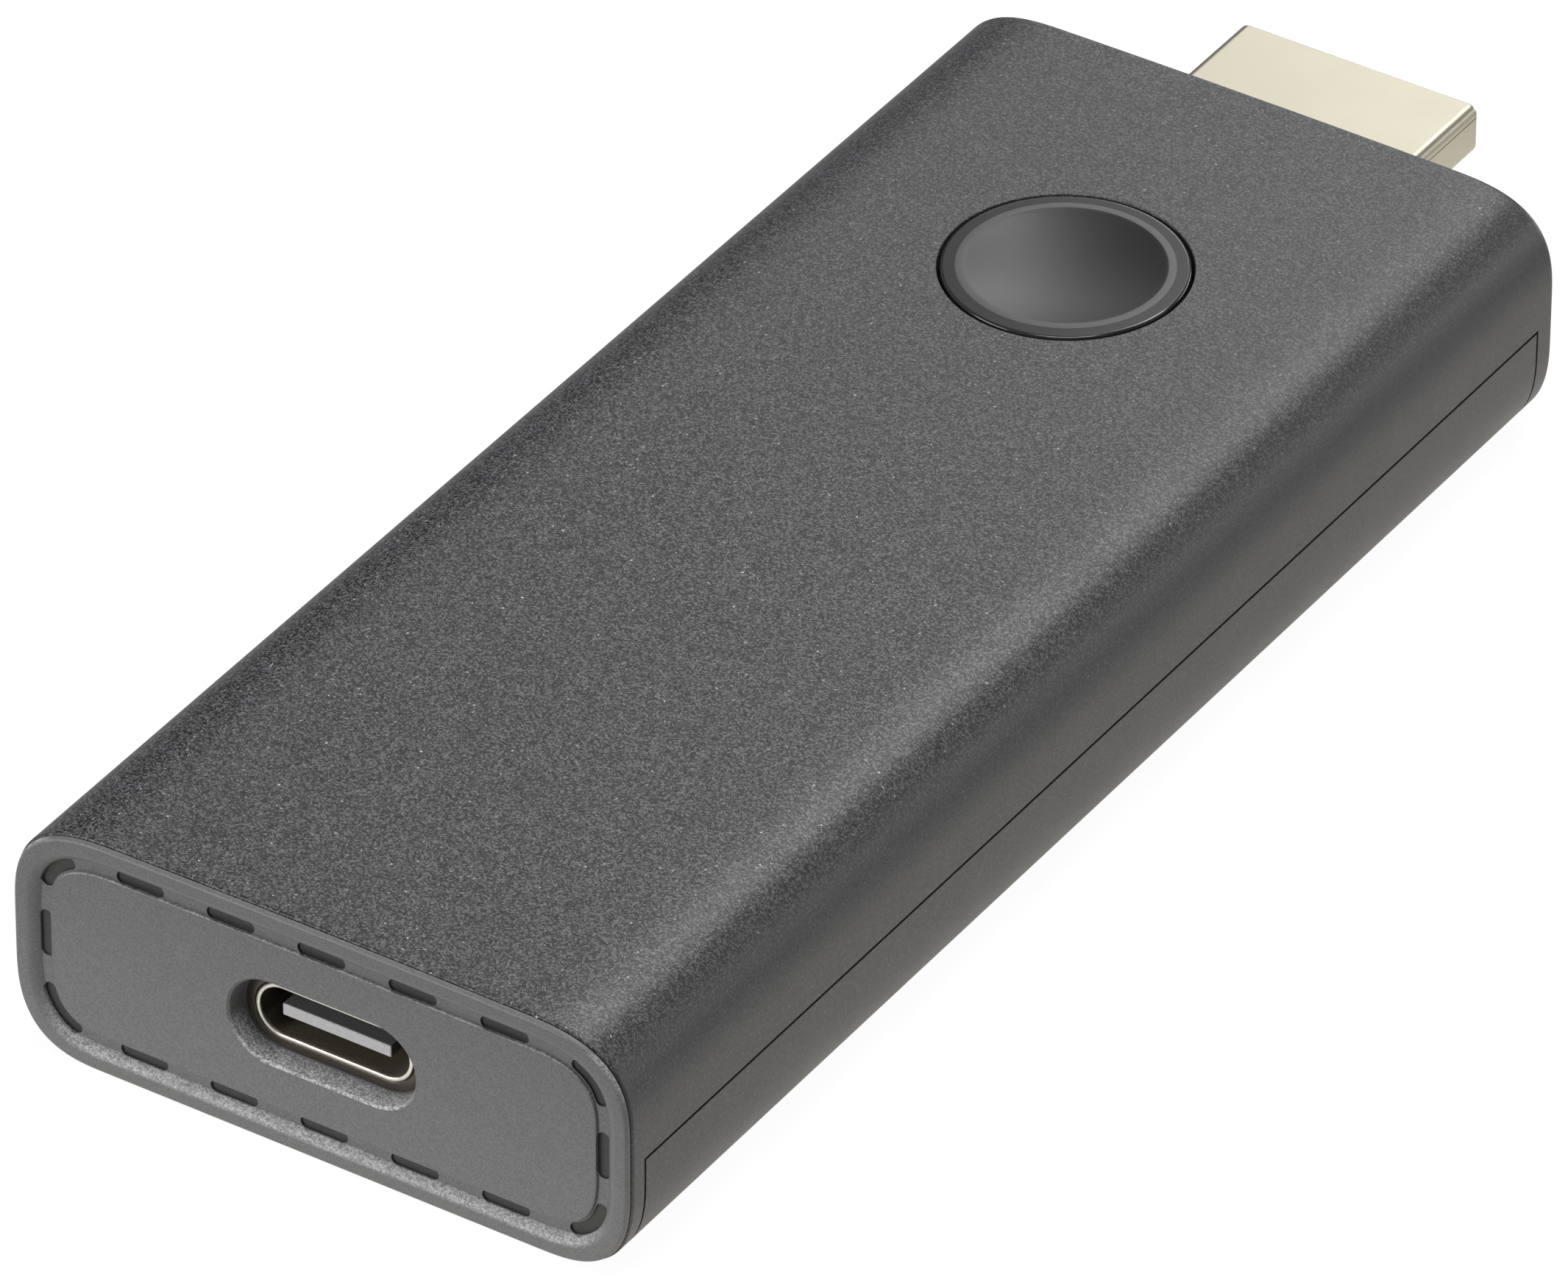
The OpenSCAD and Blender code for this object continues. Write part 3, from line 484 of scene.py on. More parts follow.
class NodeGroup(Graph):
    """A node group with named inputs and outputs."""

    KIND = ""
    INPUTS: dict[str, str] = {}
    OUTPUTS: dict[str, str] = {}

    def __init__(self, name: str) -> None:
        """Makes the group's sockets and wires it.

        Args:
            name: the group's name.
        """
        super().__init__(bpy.data.node_groups.new(name, self.KIND))
        self.names = self.sockets("INPUT", self.INPUTS)
        self.sockets("OUTPUT", self.OUTPUTS)
        self.start = self.add("NodeGroupInput")
        self.end = self.add("NodeGroupOutput")
        self.build()

    def sockets(self, way: str, kinds: dict[str, str]) -> dict[str, str]:
        """Adds named sockets to the group's interface.

        Args:
            way: INPUT or OUTPUT.
            kinds: socket name to the short name of its type.

        Returns:
            Socket name to its identifier.
        """
        add = self.tree.interface.new_socket
        return {name: add(name, in_out=way, socket_type="NodeSocket" + kind).identifier
                for name, kind in kinds.items()}

    def given(self, name: str) -> Wire:
        """One of the group's inputs."""
        return Wire(self, self.start.outputs[name])

    def give(self, *values: Value) -> None:
        """Fills the group's outputs in their order."""
        for socket, value in zip(self.end.inputs, values):
            self.feed(socket, value)

    def build(self) -> None:
        """Wires the group."""
        raise NotImplementedError


class GeometryTree(NodeGroup):
    """A Geometry Nodes tree that turns one mesh into another."""

    KIND = "GeometryNodeTree"
    INPUTS = {"Geometry": "Geometry", "Finish": "Material"}
    OUTPUTS = {"Geometry": "Geometry"}

    def dress(self, geometry: Wire) -> None:
        """Makes instances real, gives them their finish and hands them out."""
        real = self.get("GeometryNodeRealizeInstances", {"Geometry": geometry})
        self.give(self.get("GeometryNodeSetMaterial", {"Geometry": real, "Material": self.given("Finish")}))

    def grow(self, obj: Solid, values: dict[str, object]) -> Solid:
        """Runs the tree on an object and leaves a plain mesh.

        Args:
            obj: the object that holds the starting points.
            values: input name to its value.

        Returns:
            The same object, with the grown mesh.
        """
        modifier = obj.modifiers.new(self.tree.name, "NODES")
        modifier.node_group = self.tree
        for name, value in values.items():
            modifier[self.names[name]] = value
        return plain(obj)


class OutlineLoft(GeometryTree):
    """Skins the body's outline over stations; each starting point is one station.

    A point's x is the inset there, its y the place along the body, and its z how far
    the outline shrinks to its middle: 1 closes the end.
    """

    INPUTS = GeometryTree.INPUTS | {f.name: "Int" if f.type is int else "Float" for f in fields(OutlineSizes)}
    MERGE = 0.0001

    def build(self) -> None:
        """Wires the loft."""
        given, result = self.given, self.math
        half_w, base, bend = given("half_w"), given("top_base"), given("corner_steps")
        count = self.put("GeometryNodeAttributeDomainSize", {"Geometry": given("Geometry")})["Point Count"]
        steps = bend + given("run_steps")
        in_quarter = steps + 1.0
        around = in_quarter * 4.0
        row = around + 1.0
        grid = self.get("GeometryNodeMeshGrid", {"Vertices X": count, "Vertices Y": row})
        index = self.get("GeometryNodeInputIndex")
        station = result("FLOOR", (index + 0.5) / row)
        place = (index - station * row) % around
        quarter = result("FLOOR", (place + 0.5) / in_quarter)
        step = abs(quarter % 2.0 * steps - (place - quarter * in_quarter))
        top = quarter < 1.5
        side = (abs(quarter - 1.5) > 1.0) * 2.0 - 1.0

        def either(name: str) -> Wire:
            """The upper or the lower corner's size."""
            low = given("bot_" + name)
            return low + top * (given("top_" + name) - low)

        wide, high, power = either("w"), either("h"), 2.0 / either("curve")
        turn = result("MINIMUM", step / bend, 1.0) * QUARTER
        run = result("MAXIMUM", (step - bend) / given("run_steps"), 0.0)
        values = {"Geometry": given("Geometry"), "Index": station,
                  "Value": self.get("GeometryNodeInputPosition")}
        inset, y, closed = self.split(self.get("GeometryNodeSampleIndex", values, data_type="FLOAT_VECTOR"))
        across, up = [result("MAXIMUM", result(how, turn), 0.0) ** power for how in ("COSINE", "SINE")]
        x = side * ((half_w - wide) * (1.0 - run) + (wide - inset) * across)
        rise = (high - inset) * up
        ratio = x / half_w
        upper = base - high + rise + given("crown") * (1.0 - ratio * ratio)
        lower = high - rise
        z = lower + top * (upper - lower)
        kept = 1.0 - closed
        spot = self.get("ShaderNodeCombineXYZ", {"X": x * kept, "Y": y, "Z": z * kept + base * 0.5 * closed})
        moved = self.get("GeometryNodeSetPosition", {"Geometry": grid, "Position": spot})
        self.dress(self.get("GeometryNodeMergeByDistance", {"Geometry": moved, "Distance": self.MERGE}))


class CopiesOnPoints(GeometryTree):
    """Copies of a solid, one at each starting point."""

    INPUTS = GeometryTree.INPUTS | {"Copy": "Object"}

    def build(self) -> None:
        """Wires the copies."""
        copy = self.put("GeometryNodeObjectInfo", {"Object": self.given("Copy")})["Geometry"]
        self.dress(self.get("GeometryNodeInstanceOnPoints", {"Points": self.points(), "Instance": copy}))

    def points(self) -> Wire:
        """Where the copies go."""
        return self.given("Geometry")


class CopiesInRow(CopiesOnPoints):
    """Copies of a solid in a row across the body, along its crowned top."""

    INPUTS = CopiesOnPoints.INPUTS | {"Count": "Int", "Pitch": "Float", "Crown": "Float",
                                      "Half width": "Float"}

    def points(self) -> Wire:
        """A row of points across the body, moved onto its crown.

        Returns:
            The points' geometry.
        """
        count = self.given("Count")
        line = self.get("GeometryNodeMeshLine", {"Count": count})
        x = (self.get("GeometryNodeInputIndex") - (count - 1.0) / 2.0) * self.given("Pitch")
        ratio = x / self.given("Half width")
        spot = self.get("ShaderNodeCombineXYZ", {"X": x, "Z": self.given("Crown") * (1.0 - ratio * ratio)})
        return self.get("GeometryNodeSetPosition", {"Geometry": line, "Position": spot})


# Solids


def plain(obj: Solid) -> Solid:
    """Turns an object with live modifiers into a plain mesh.

    Args:
        obj: the object.

    Returns:
        The same object without modifiers.
    """
    bpy.context.view_layer.update()
    grown = obj.evaluated_get(bpy.context.evaluated_depsgraph_get())
    mesh = bpy.data.meshes.new_from_object(grown)
    obj.modifiers.clear()
    old, obj.data = obj.data, mesh
    bpy.data.meshes.remove(old)
    return obj


def tidy(mesh: bpy.types.Mesh) -> None:
    """Merges doubled corners and turns the faces outwards.

    Args:
        mesh: the mesh, changed in place.
    """
    work = bmesh.new()
    work.from_mesh(mesh)
    bmesh.ops.remove_doubles(work, verts=work.verts, dist=DOUBLED)
    bmesh.ops.dissolve_degenerate(work, edges=work.edges, dist=DOUBLED)
    bmesh.ops.recalc_face_normals(work, faces=work.faces)
    work.to_mesh(mesh)
    work.free()


def shape(name: str, points: Sequence[Point3], faces: Sequence[Sequence[int]] = ()) -> Solid:
    """Makes a mesh object, with its faces turned outwards.

    Args:
        name: the object's name.
        points: its corners.
        faces: corner numbers of each face.

    Returns:
        The object, linked to the scene.
    """
    mesh = bpy.data.meshes.new(name)
    mesh.from_pydata(points, [], faces)
    if faces:
        tidy(mesh)
    obj = bpy.data.objects.new(name, mesh)
    bpy.context.scene.collection.objects.link(obj)
    return obj


def work_on(obj: Solid, tools: Iterable[Solid], how: Joining = Joining.CUT) -> Solid:
    """Cuts a solid with others, or adds them to it.

    Args:
        obj: the solid to work on.
        tools: the solids used up by it.
        how: whether they cut, join or limit it.

    Returns:
        The same object, with its new mesh.
    """
    tools = list(tools)
    for tool in tools:
        modifier = obj.modifiers.new("work", "BOOLEAN")
        modifier.operation, modifier.solver, modifier.object = how.value, "EXACT", tool
    plain(obj)
    for tool in tools:
        bpy.data.objects.remove(tool)
    tidy(obj.data)
    return obj


def even(steps: int, last: float = 1.0) -> list[float]:
    """Evenly spaced values from 0 to the last one, both included."""
    return [last * k / steps for k in range(steps + 1)]


def skin(name: str, rings: Sequence[Sequence[Point3]], endless: bool = False) -> Solid:
    """Skins a solid over rings of points.

    Args:
        name: the object's name.
        rings: rings with as many points each.
        endless: whether the last ring meets the first, as in a sleeve with a wall.

    Returns:
        The closed solid.
    """
    size, count = len(rings[0]), len(rings)
    faces = [[a * size + i, a * size + (i + 1) % size, b * size + (i + 1) % size, b * size + i]
             for a in range(count if endless else count - 1) for b in [(a + 1) % count] for i in range(size)]
    if not endless:
        faces += [list(range(size))[::-1], [(count - 1) * size + i for i in range(size)]]
    return shape(name, [p for ring in rings for p in ring], faces)


def ring_of(points: Sequence[Point2], y: float) -> list[Point3]:
    """Stands a flat outline, in x and z, up at one place along the body."""
    return [(x, y, z) for x, z in points]


def prism(name: str, outline: Sequence[Point2], near: float, far: float) -> Solid:
    """A solid with one cross-section, in x and z, between two places along the body."""
    return skin(name, [ring_of(outline, y) for y in (near, far)])


def across_prism(name: str, outline: Sequence[Point2], left: float, right: float) -> Solid:
    """A solid with one cross-section, in y and z, between two places across the body."""
    return skin(name, [[(x, y, z) for y, z in outline] for x in (left, right)])


def block(name: str, low: Point3, high: Point3, edge: float = 0.0) -> Solid:
    """A block between two corners, with its edges rounded off.

    Args:
        name: the object's name.
        low: its lowest corner.
        high: its highest corner.
        edge: radius of its edges.

    Returns:
        The solid.
    """
    (a, b, c), (d, e, f) = low, high
    obj = prism(name, [(a, c), (d, c), (d, f), (a, f)], b, e)
    if edge:
        modifier = obj.modifiers.new("edge", "BEVEL")
        modifier.width, modifier.segments = edge, EDGE_STEPS
        plain(obj)
    return obj


def side_block(name: str, side: int, across: Point2, along: Point2, up: Point2) -> Solid:
    """A block on one side, 1 or -1, with its distances from the middle and its y and z ranges."""
    low, high = sorted(side * x for x in across)
    return block(name, (low, along[0], up[0]), (high, along[1], up[1]))


def lathe(name: str, profile: Sequence[Point2], centre: Point2, turns: int = 48) -> Solid:
    """Turns a profile round an upright axis; its first and last points lie on the axis.

    Args:
        name: the object's name.
        profile: radius and z of its points.
        centre: x and y of the axis.
        turns: steps round the axis.

    Returns:
        The solid.
    """
    cx, cy = centre
    points = [(cx + r * math.cos(t), cy + r * math.sin(t), z)
              for t in even(turns, 2 * math.pi)[:-1] for r, z in profile]
    size = len(profile)
    faces = [[a * size + i, b * size + i, b * size + i + 1, a * size + i + 1]
             for a in range(turns) for b in [(a + 1) % turns] for i in range(size - 1)]
    return shape(name, points, faces)


def pillar(name: str, centre: Point2, radius: float, low: float, high: float) -> Solid:
    """An upright pin with slightly broken edges.

    Args:
        name: the object's name.
        centre: x and y of its axis.
        radius: its radius.
        low: z of its foot.
        high: z of its top.

    Returns:
        The solid.
    """
    edge = radius * BROKEN_EDGE
    return lathe(name, [(0.0, low), (radius - edge, low), (radius, low + edge), (radius, high - edge),
                        (radius - edge, high), (0.0, high)], centre)


def stadium(wide: float, high: float, z: float, steps: int = 20) -> list[Point2]:
    """Outline of a slot with round ends.

    Args:
        wide: its width.
        high: its height.
        z: height of its middle.
        steps: steps in each end.

    Returns:
        x and z of its points.
    """
    radius, half = high / 2, (wide - high) / 2
    return [(way * (half + radius * math.sin(t)), z + way * radius * math.cos(t))
            for way in SIDES for t in even(steps, math.pi)]


def arc(radius: float, steps: int = 8, span: float = QUARTER) -> list[Point2]:
    """Depth behind a face and inset from a side along a round edge, or one point without a radius."""
    turns = even(steps, span) if radius else [QUARTER]
    return [(radius * (1 - math.cos(t)), radius * (1 - math.sin(t))) for t in turns]


def bowl(radius: float, middle: float, rise: float, steps: int) -> list[Point2]:
    """Radius and z along a parabola that starts at the axis and rises outwards."""
    return [(radius * share, middle + rise * share ** 2) for share in even(steps)]


def rounded_corners(corners: Sequence[Point3], inset: float, least: float, steps: int = 8) -> list[Point2]:
    """A convex outline with round corners, moved inwards.

    Args:
        corners: x, z and radius of each corner, clockwise as seen from the near end.
        inset: how far it moves inwards.
        least: the smallest radius that it may leave.
        steps: steps in each corner.

    Returns:
        x and z of its points.
    """
    points = []
    for k, (x, z, radius) in enumerate(corners):
        here = Vector((x, z))
        before = (here - Vector(corners[k - 1][:2])).normalized()
        after = (Vector(corners[(k + 1) % len(corners)][:2]) - here).normalized()
        out_a, out_b = Vector((-before.y, before.x)), Vector((-after.y, after.x))
        kept = max(radius - inset, least)
        reach = (kept + inset) / math.cos(out_a.angle(out_b) / 2)
        centre = here - (out_a + out_b).normalized() * reach
        first = math.atan2(out_a.y, out_a.x)
        turn = (math.atan2(out_b.y, out_b.x) - first + math.pi) % (2 * math.pi) - math.pi
        points += [(centre.x + kept * math.cos(first + t), centre.y + kept * math.sin(first + t))
                   for t in even(steps, turn)]
    return points


class Lofter:
    """Makes solids that follow the body's outline."""

    SPREAD = (0.002, 0.01, 0.05, 0.2, 0.4, 0.6, 0.8, 0.95, 0.99, 0.998)

    def __init__(self, outline: OutlineSizes) -> None:
        """Keeps the outline and builds the tree once."""
        self.outline = outline
        self.tree = OutlineLoft("outline loft")

    def over(self, name: str, stations: Sequence[Point2]) -> Solid:
        """A closed solid over stations.

        Args:
            name: the object's name.
            stations: y and inset of each, from near to far.

        Returns:
            The solid.
        """
        (near, first), (far, last) = stations[0], stations[-1]
        points = [(first, near, 1.0), *((inset, y, 0.0) for y, inset in stations), (last, far, 1.0)]
        obj = self.tree.grow(shape(name, points), asdict(self.outline))
        tidy(obj.data)
        return obj

    def straight(self, name: str, inset: float, near: float, far: float, near_round: float = 0.0,
                 far_round: float = 0.0) -> Solid:
        """A solid of one outline with rounded ends.

        Args:
            name: the object's name.
            inset: distance in from the body's outline.
            near: y where it starts.
            far: y where it ends.
            near_round: radius of its near edge.
            far_round: radius of its far edge.

        Returns:
            The solid.
        """
        start = [(near + back, inset + into) for back, into in arc(near_round)]
        end = [(far - back, inset + into) for back, into in reversed(arc(far_round))]
        first, last = start[-1][0], end[0][0]
        spread = self.SPREAD if near_round or far_round else ()
        return self.over(name, start + [(first + (last - first) * share, inset) for share in spread] + end)


# Finishes


@dataclass(frozen=True)
class Finish:
    """What a surface looks like; grain sizes are in millimetres."""

    texture: Texture
    colour: Colour
    second: Colour
    grain: float
    amount: float = 0.5
    roughness: float = 0.45
    spread: float = 0.1
    metallic: float = 0.0
    relief: float = 0.004
    coat: float = 0.0
    along: Point3 = (1.0, 1.0, 1.0)
    edge: float = 0.0


FINISHES = {
    # The paint's second colour is the painted glint of its flakes.
    "shell_paint": Finish(Texture.FLECK, (0.067, 0.067, 0.070), (0.46, 0.45, 0.47), 0.08, amount=1.0,
                          roughness=0.36, spread=0.13, relief=0.003),
    "cap_plastic": Finish(Texture.CAP, (0.124, 0.124, 0.128), (0.2, 0.2, 0.206), 0.08, amount=1.0,
                          roughness=0.42),
    "button_plastic": Finish(Texture.BUTTON, (0.018, 0.018, 0.019), (0.095, 0.095, 0.098), 0.05, amount=1.0,
                             roughness=0.33, relief=0.003),
    "plug_metal": Finish(Texture.BRUSHED, (0.58, 0.55, 0.445), (0.53, 0.49, 0.38), 0.5, roughness=0.36,
                         spread=0.08, metallic=0.85, relief=0.002, along=(1.0, 0.12, 1.0)),
    "contact_metal": Finish(Texture.BRUSHED, (0.82, 0.62, 0.28), (0.66, 0.47, 0.20), 0.12, amount=0.4,
                            roughness=0.28, metallic=1.0, relief=0.001, along=(1.0, 0.2, 1.0)),
    "steel": Finish(Texture.BRUSHED, (0.60, 0.58, 0.56), (0.44, 0.41, 0.38), 0.12, roughness=0.26,
                    metallic=1.0, relief=0.0015, along=(1.0, 0.15, 1.0)),
    "screw_steel": Finish(Texture.BRUSHED, (0.46, 0.46, 0.48), (0.34, 0.34, 0.36), 0.1, roughness=0.35,
                          metallic=1.0, relief=0.002, along=(0.3, 0.3, 1.0)),
    "tinned_steel": Finish(Texture.BRUSHED, (0.66, 0.66, 0.67), (0.54, 0.54, 0.56), 0.4, roughness=0.38,
                           metallic=1.0, relief=0.002, along=(1.0, 0.1, 1.0)),
    "black_plastic": Finish(Texture.GRAIN, (0.018, 0.018, 0.02), (0.032, 0.032, 0.034), 0.08, amount=0.6,
                            roughness=0.5),
    "tongue_plastic": Finish(Texture.EDGED, (0.06, 0.06, 0.062), (0.6, 0.6, 0.62), 0.09, relief=0.003,
                             edge=1.66),
    # On the socket shell, the dark brown is painted shade and the cream front edge is a painted highlight.
    "socket_steel": Finish(Texture.EDGED, (0.105, 0.093, 0.073), (0.95, 0.92, 0.83), 0.12, roughness=0.3,
                           metallic=0.6, relief=0.001, edge=1.405),
    "plunger_plastic": Finish(Texture.GRAIN, (0.24, 0.12, 0.06), (0.31, 0.16, 0.08), 0.08, relief=0.003),
    "board": Finish(Texture.BOARD, (0.012, 0.055, 0.034), (0.035, 0.13, 0.075), 0.55, amount=0.8,
                    roughness=0.32, relief=0.02, coat=0.4),
    "chip_black": Finish(Texture.GRAIN, (0.016, 0.016, 0.018), (0.036, 0.036, 0.038), 0.07, amount=0.7,
                         roughness=0.55, relief=0.006),
    "pad_rubber": Finish(Texture.GRAIN, (0.28, 0.34, 0.43), (0.36, 0.42, 0.5), 0.12, amount=0.6,
                         roughness=0.7, relief=0.01),
    "aluminium": Finish(Texture.BRUSHED, (0.66, 0.66, 0.68), (0.52, 0.52, 0.54), 0.25, roughness=0.4,
                        metallic=1.0, relief=0.003, along=(1.0, 0.06, 1.0)),
    "coil_ferrite": Finish(Texture.GRAIN, (0.05, 0.05, 0.054), (0.09, 0.09, 0.094), 0.1, amount=0.8,
                           roughness=0.6, relief=0.01),
    "capacitor_ceramic": Finish(Texture.GRAIN, (0.33, 0.23, 0.145), (0.43, 0.32, 0.21), 0.08, amount=0.6,
                                roughness=0.4, relief=0.003),
}


class SurfaceGroup(NodeGroup):
    """A shader group that turns a place on a surface into colour, roughness and height.

    A ramp among the constants holds a value's range and what its ends become.
    """

    KIND = "ShaderNodeTree"
    INPUTS = {"Vector": "Vector", "Colour": "Color", "Second": "Color", "Grain": "Float", "Amount": "Float",
              "Roughness": "Float", "Spread": "Float", "Along": "Vector", "Edge": "Float", "Normal": "Vector"}
    OUTPUTS = {"Colour": "Color", "Roughness": "Float", "Height": "Float"}
    FINE = 3.0
    CLOUD = 30.0
    CONTRAST = (0.3, 0.7)

    def build(self) -> None:
        """Sets out what every texture starts from, in millimetres, then wires the texture."""
        self.place = self.scaled(self.given("Vector"), 1 / MM)
        self.size, self.amount = self.given("Grain"), self.given("Amount")
        self.texture()

    def texture(self) -> None:
        """Wires the group's own nodes."""
        raise NotImplementedError

    def noise(self, size: Value, detail: float = 2.0, along: bool = False) -> Wire:
        """Soft noise with grains of one size.

        Args:
            size: size of a grain in millimetres.
            detail: how many finer layers it has.
            along: whether the grains are drawn out by the Along input.

        Returns:
            The noise, from 0 to 1.
        """
        place = self.place
        if along:
            place = self.run("ShaderNodeVectorMath", place, self.given("Along"), operation="MULTIPLY")
        return self.get("ShaderNodeTexNoise", {"Vector": place, "Scale": 1.0 / size, "Detail": detail})

    def cells(self, size: Wire, **settings: str) -> tuple[Wire, Wire]:
        """Small cells of one size.

        Args:
            size: size of a cell in millimetres.
            settings: properties of the Voronoi node.

        Returns:
            Distance from the cell's middle, and the cell's random value from 0 to 1.
        """
        cell = self.put("ShaderNodeTexVoronoi", {"Vector": self.place, "Scale": 1.0 / size}, **settings)
        return cell["Distance"], self.get("ShaderNodeSeparateColor", {"Color": cell["Color"]})

    def up(self, low: float, high: float) -> Wire:
        """How far the surface faces up, from 0 to 1, between two values of its normal's z."""
        return self.ramp(self.split(self.given("Normal"))[2], low, high)

    def blend(self, first: Wire, second: Wire, share: float) -> Wire:
        """The Amount times a mix of two values, with the first one's share."""
        return self.amount * (first * share + second * (1.0 - share))

    def mix(self, share: Wire) -> Wire:
        """Mixes the first colour with the second."""
        values = {"Factor": share, "A": self.given("Colour"), "B": self.given("Second")}
        return self.get("ShaderNodeMix", values, data_type="RGBA")

    def uneven(self, value: Wire) -> Wire:
        """Roughness that wavers round the given one."""
        return self.given("Roughness") + self.given("Spread") * (value - 0.5)


class FleckGroup(SurfaceGroup):
    """Paint with a fine metallic grain and sparse bright flecks: the flakes are real, their brightness a
    painted glint, strongest on top and faded down the sides.
    """

    # Where the painted glint of the flecks and grain fades: down the sides, and towards the far end.
    SIDE_FADE: Ramp = (11.4, 13.2, 0.25, 1.0)
    FAR_FADE: Ramp = (-15.0, 25.0, 1.0, 0.6)
    DOT_SPACING = 2.3
    DOT_RADIUS = 0.32
    DOT_RAREST = 0.7
    DOT_STRENGTH = 0.5
    LARGE_SPACING = 1.6
    LARGE_RAREST = 0.8
    CLOUD_SIZE = 2.6
    CLOUDS = (0.8, 1.0)
    SWING = 2.7
    SWING_MEAN = 0.333

    def dots(self, spacing: float, rarest: float) -> Wire:
        """Round flecks, from 0 to 1, in the cells with a random value above the rarest."""
        distance, value = self.cells(self.size * spacing)
        return self.ramp(value, rarest, 1.0) * self.ramp(distance, 0.0, self.DOT_RADIUS, 1.0, 0.0)

    def texture(self) -> None:
        """Wires the grain, two sizes of fleck and soft clouds; the flecks and the grain's swing are a painted
        glint that fades down the sides and towards the far end.
        """
        _, y, z = self.split(self.place)
        _, fine = self.cells(self.size)
        # Painted glint: full on top, weaker down the sides and towards the far end.
        glint_fade = self.ramp(z, *self.SIDE_FADE) * self.ramp(y, *self.FAR_FADE)
        dots = (self.dots(self.DOT_SPACING, self.DOT_RAREST) * self.DOT_STRENGTH
                + self.dots(self.DOT_SPACING * self.LARGE_SPACING, self.LARGE_RAREST))
        clouds = self.ramp(self.noise(self.CLOUD_SIZE), *self.CONTRAST, *self.CLOUDS)
        depth = 1.0 + (fine * fine - self.SWING_MEAN) * glint_fade * self.SWING
        colour = self.scaled(self.mix(dots * self.amount * (glint_fade * clouds)), depth)
        self.give(colour, self.uneven(clouds), fine * glint_fade)


class GrainGroup(SurfaceGroup):
    """Moulded plastic with a fine grain and faint clouds."""

    GRAIN_SHARE = 0.7

    def texture(self) -> None:
        """Wires fine grain over clouds."""
        grain, clouds = self.noise(self.size, self.FINE), self.noise(self.size * self.CLOUD)
        self.give(self.mix(self.blend(grain, clouds, self.GRAIN_SHARE)), self.uneven(clouds), grain)


class CapGroup(SurfaceGroup):
    """The end cap's plastic: gritty where it faces up, with painted light there, and painted shade in the
    depth of its vent slots.
    """

    # Painted shade in the vent slots sets in over this depth behind the front.
    DEEP: Ramp = (-46.04, -45.98, 0.0, 1.0)
    SOCKET_X = 5.7
    SOCKET_Z = 2.8
    SOCKET_MIDDLE = 6.77
    # How dark the painted shade in the slots leaves the plastic.
    DARK = 0.22
    GRAIN_SHARE = 0.85
    FACING = (0.1, 0.6)
    BELOW: Ramp = (12.4, 12.8, 1.0, 0.0)
    # Painted light with grit specks on up-facing faces: its strength, speck size, least and swing, and its
    # gain in the socket's recess.
    GRIT = 1.0
    GRIT_SIZE = 1.1
    GRIT_LEAST = 0.1
    GRIT_SWING = 1.8
    GRIT_RECESS = 0.8
    RECESS_X: Ramp = (6.0, 6.6, 1.0, 0.0)
    RECESS_Z: Ramp = (2.6, 3.2, 1.0, 0.0)

    def texture(self) -> None:
        """Wires fine grain, paints shade on what lies behind the front outside the socket's recess, and
        paints light with grit specks on faces that look up, more so in the recess.
        """
        x, y, z = self.split(self.place)
        off_x, off_z = abs(x), abs(z - self.SOCKET_MIDDLE)
        outside = self.math("MAXIMUM", off_x > self.SOCKET_X, off_z > self.SOCKET_Z)
        # Painted shade on the slots' walls and blind floors.
        slot_shade = outside * self.ramp(y, *self.DEEP)
        grain = self.ramp(self.noise(self.size, self.FINE), *self.CONTRAST)
        clouds = self.noise(self.size * self.CLOUD)
        # Painted light: up-facing faces below the top rim are lightened, with grit specks, and more so in the
        # recess.
        up = self.up(*self.FACING) * self.ramp(z, *self.BELOW)
        speck = self.GRIT_LEAST + self.cells(self.size * self.GRIT_SIZE)[1] * self.GRIT_SWING
        nearby = self.ramp(off_x, *self.RECESS_X) * self.ramp(off_z, *self.RECESS_Z)
        grit_and_light = self.GRIT + nearby * self.GRIT_RECESS
        depth = (1.0 + up * speck * grit_and_light) * (1.0 - slot_shade * (1.0 - self.DARK))
        colour = self.scaled(self.mix(self.blend(grain, clouds, self.GRAIN_SHARE)), depth)
        self.give(colour, self.uneven(clouds), grain)


class EdgedGroup(SurfaceGroup):
    """A dark part of the power socket with a light front edge, and painted light on faces that look up behind
    it.
    """

    BLUR = 0.012
    FACING = (0.3, 0.7)
    # How much painted light from above brightens up-facing faces behind the front edge.
    UPWARD = 2.2
    SHADES = (0.85, 1.1)

    def texture(self) -> None:
        """Wires fine grain over both colours, which meet at one place along the body, and paints light on
        faces that look up behind the front edge.
        """
        _, y, _ = self.split(self.place)
        front = self.ramp(y - (self.given("Edge") - HALF_LENGTH), -self.BLUR, self.BLUR, 1.0, 0.0)
        grain = self.noise(self.size, self.FINE)
        # Painted light from above on up-facing faces behind the front edge.
        lit_from_above = 1.0 + self.up(*self.FACING) * (1.0 - front) * self.UPWARD
        depth = lit_from_above * self.ramp(grain, *self.CONTRAST, *self.SHADES)
        self.give(self.scaled(self.mix(front), depth), self.uneven(grain), grain)


class BrushedGroup(SurfaceGroup):
    """Metal drawn or brushed in one direction, with faint mottling."""

    LINE_DETAIL = 4.0
    PATCH = 6.0

    def texture(self) -> None:
        """Wires drawn lines over soft patches."""
        lines = self.noise(self.size, self.LINE_DETAIL, along=True)
        patches = self.noise(self.size * self.PATCH, self.FINE)
        self.give(self.mix(self.blend(lines, patches, 0.5)), self.uneven(patches), lines)


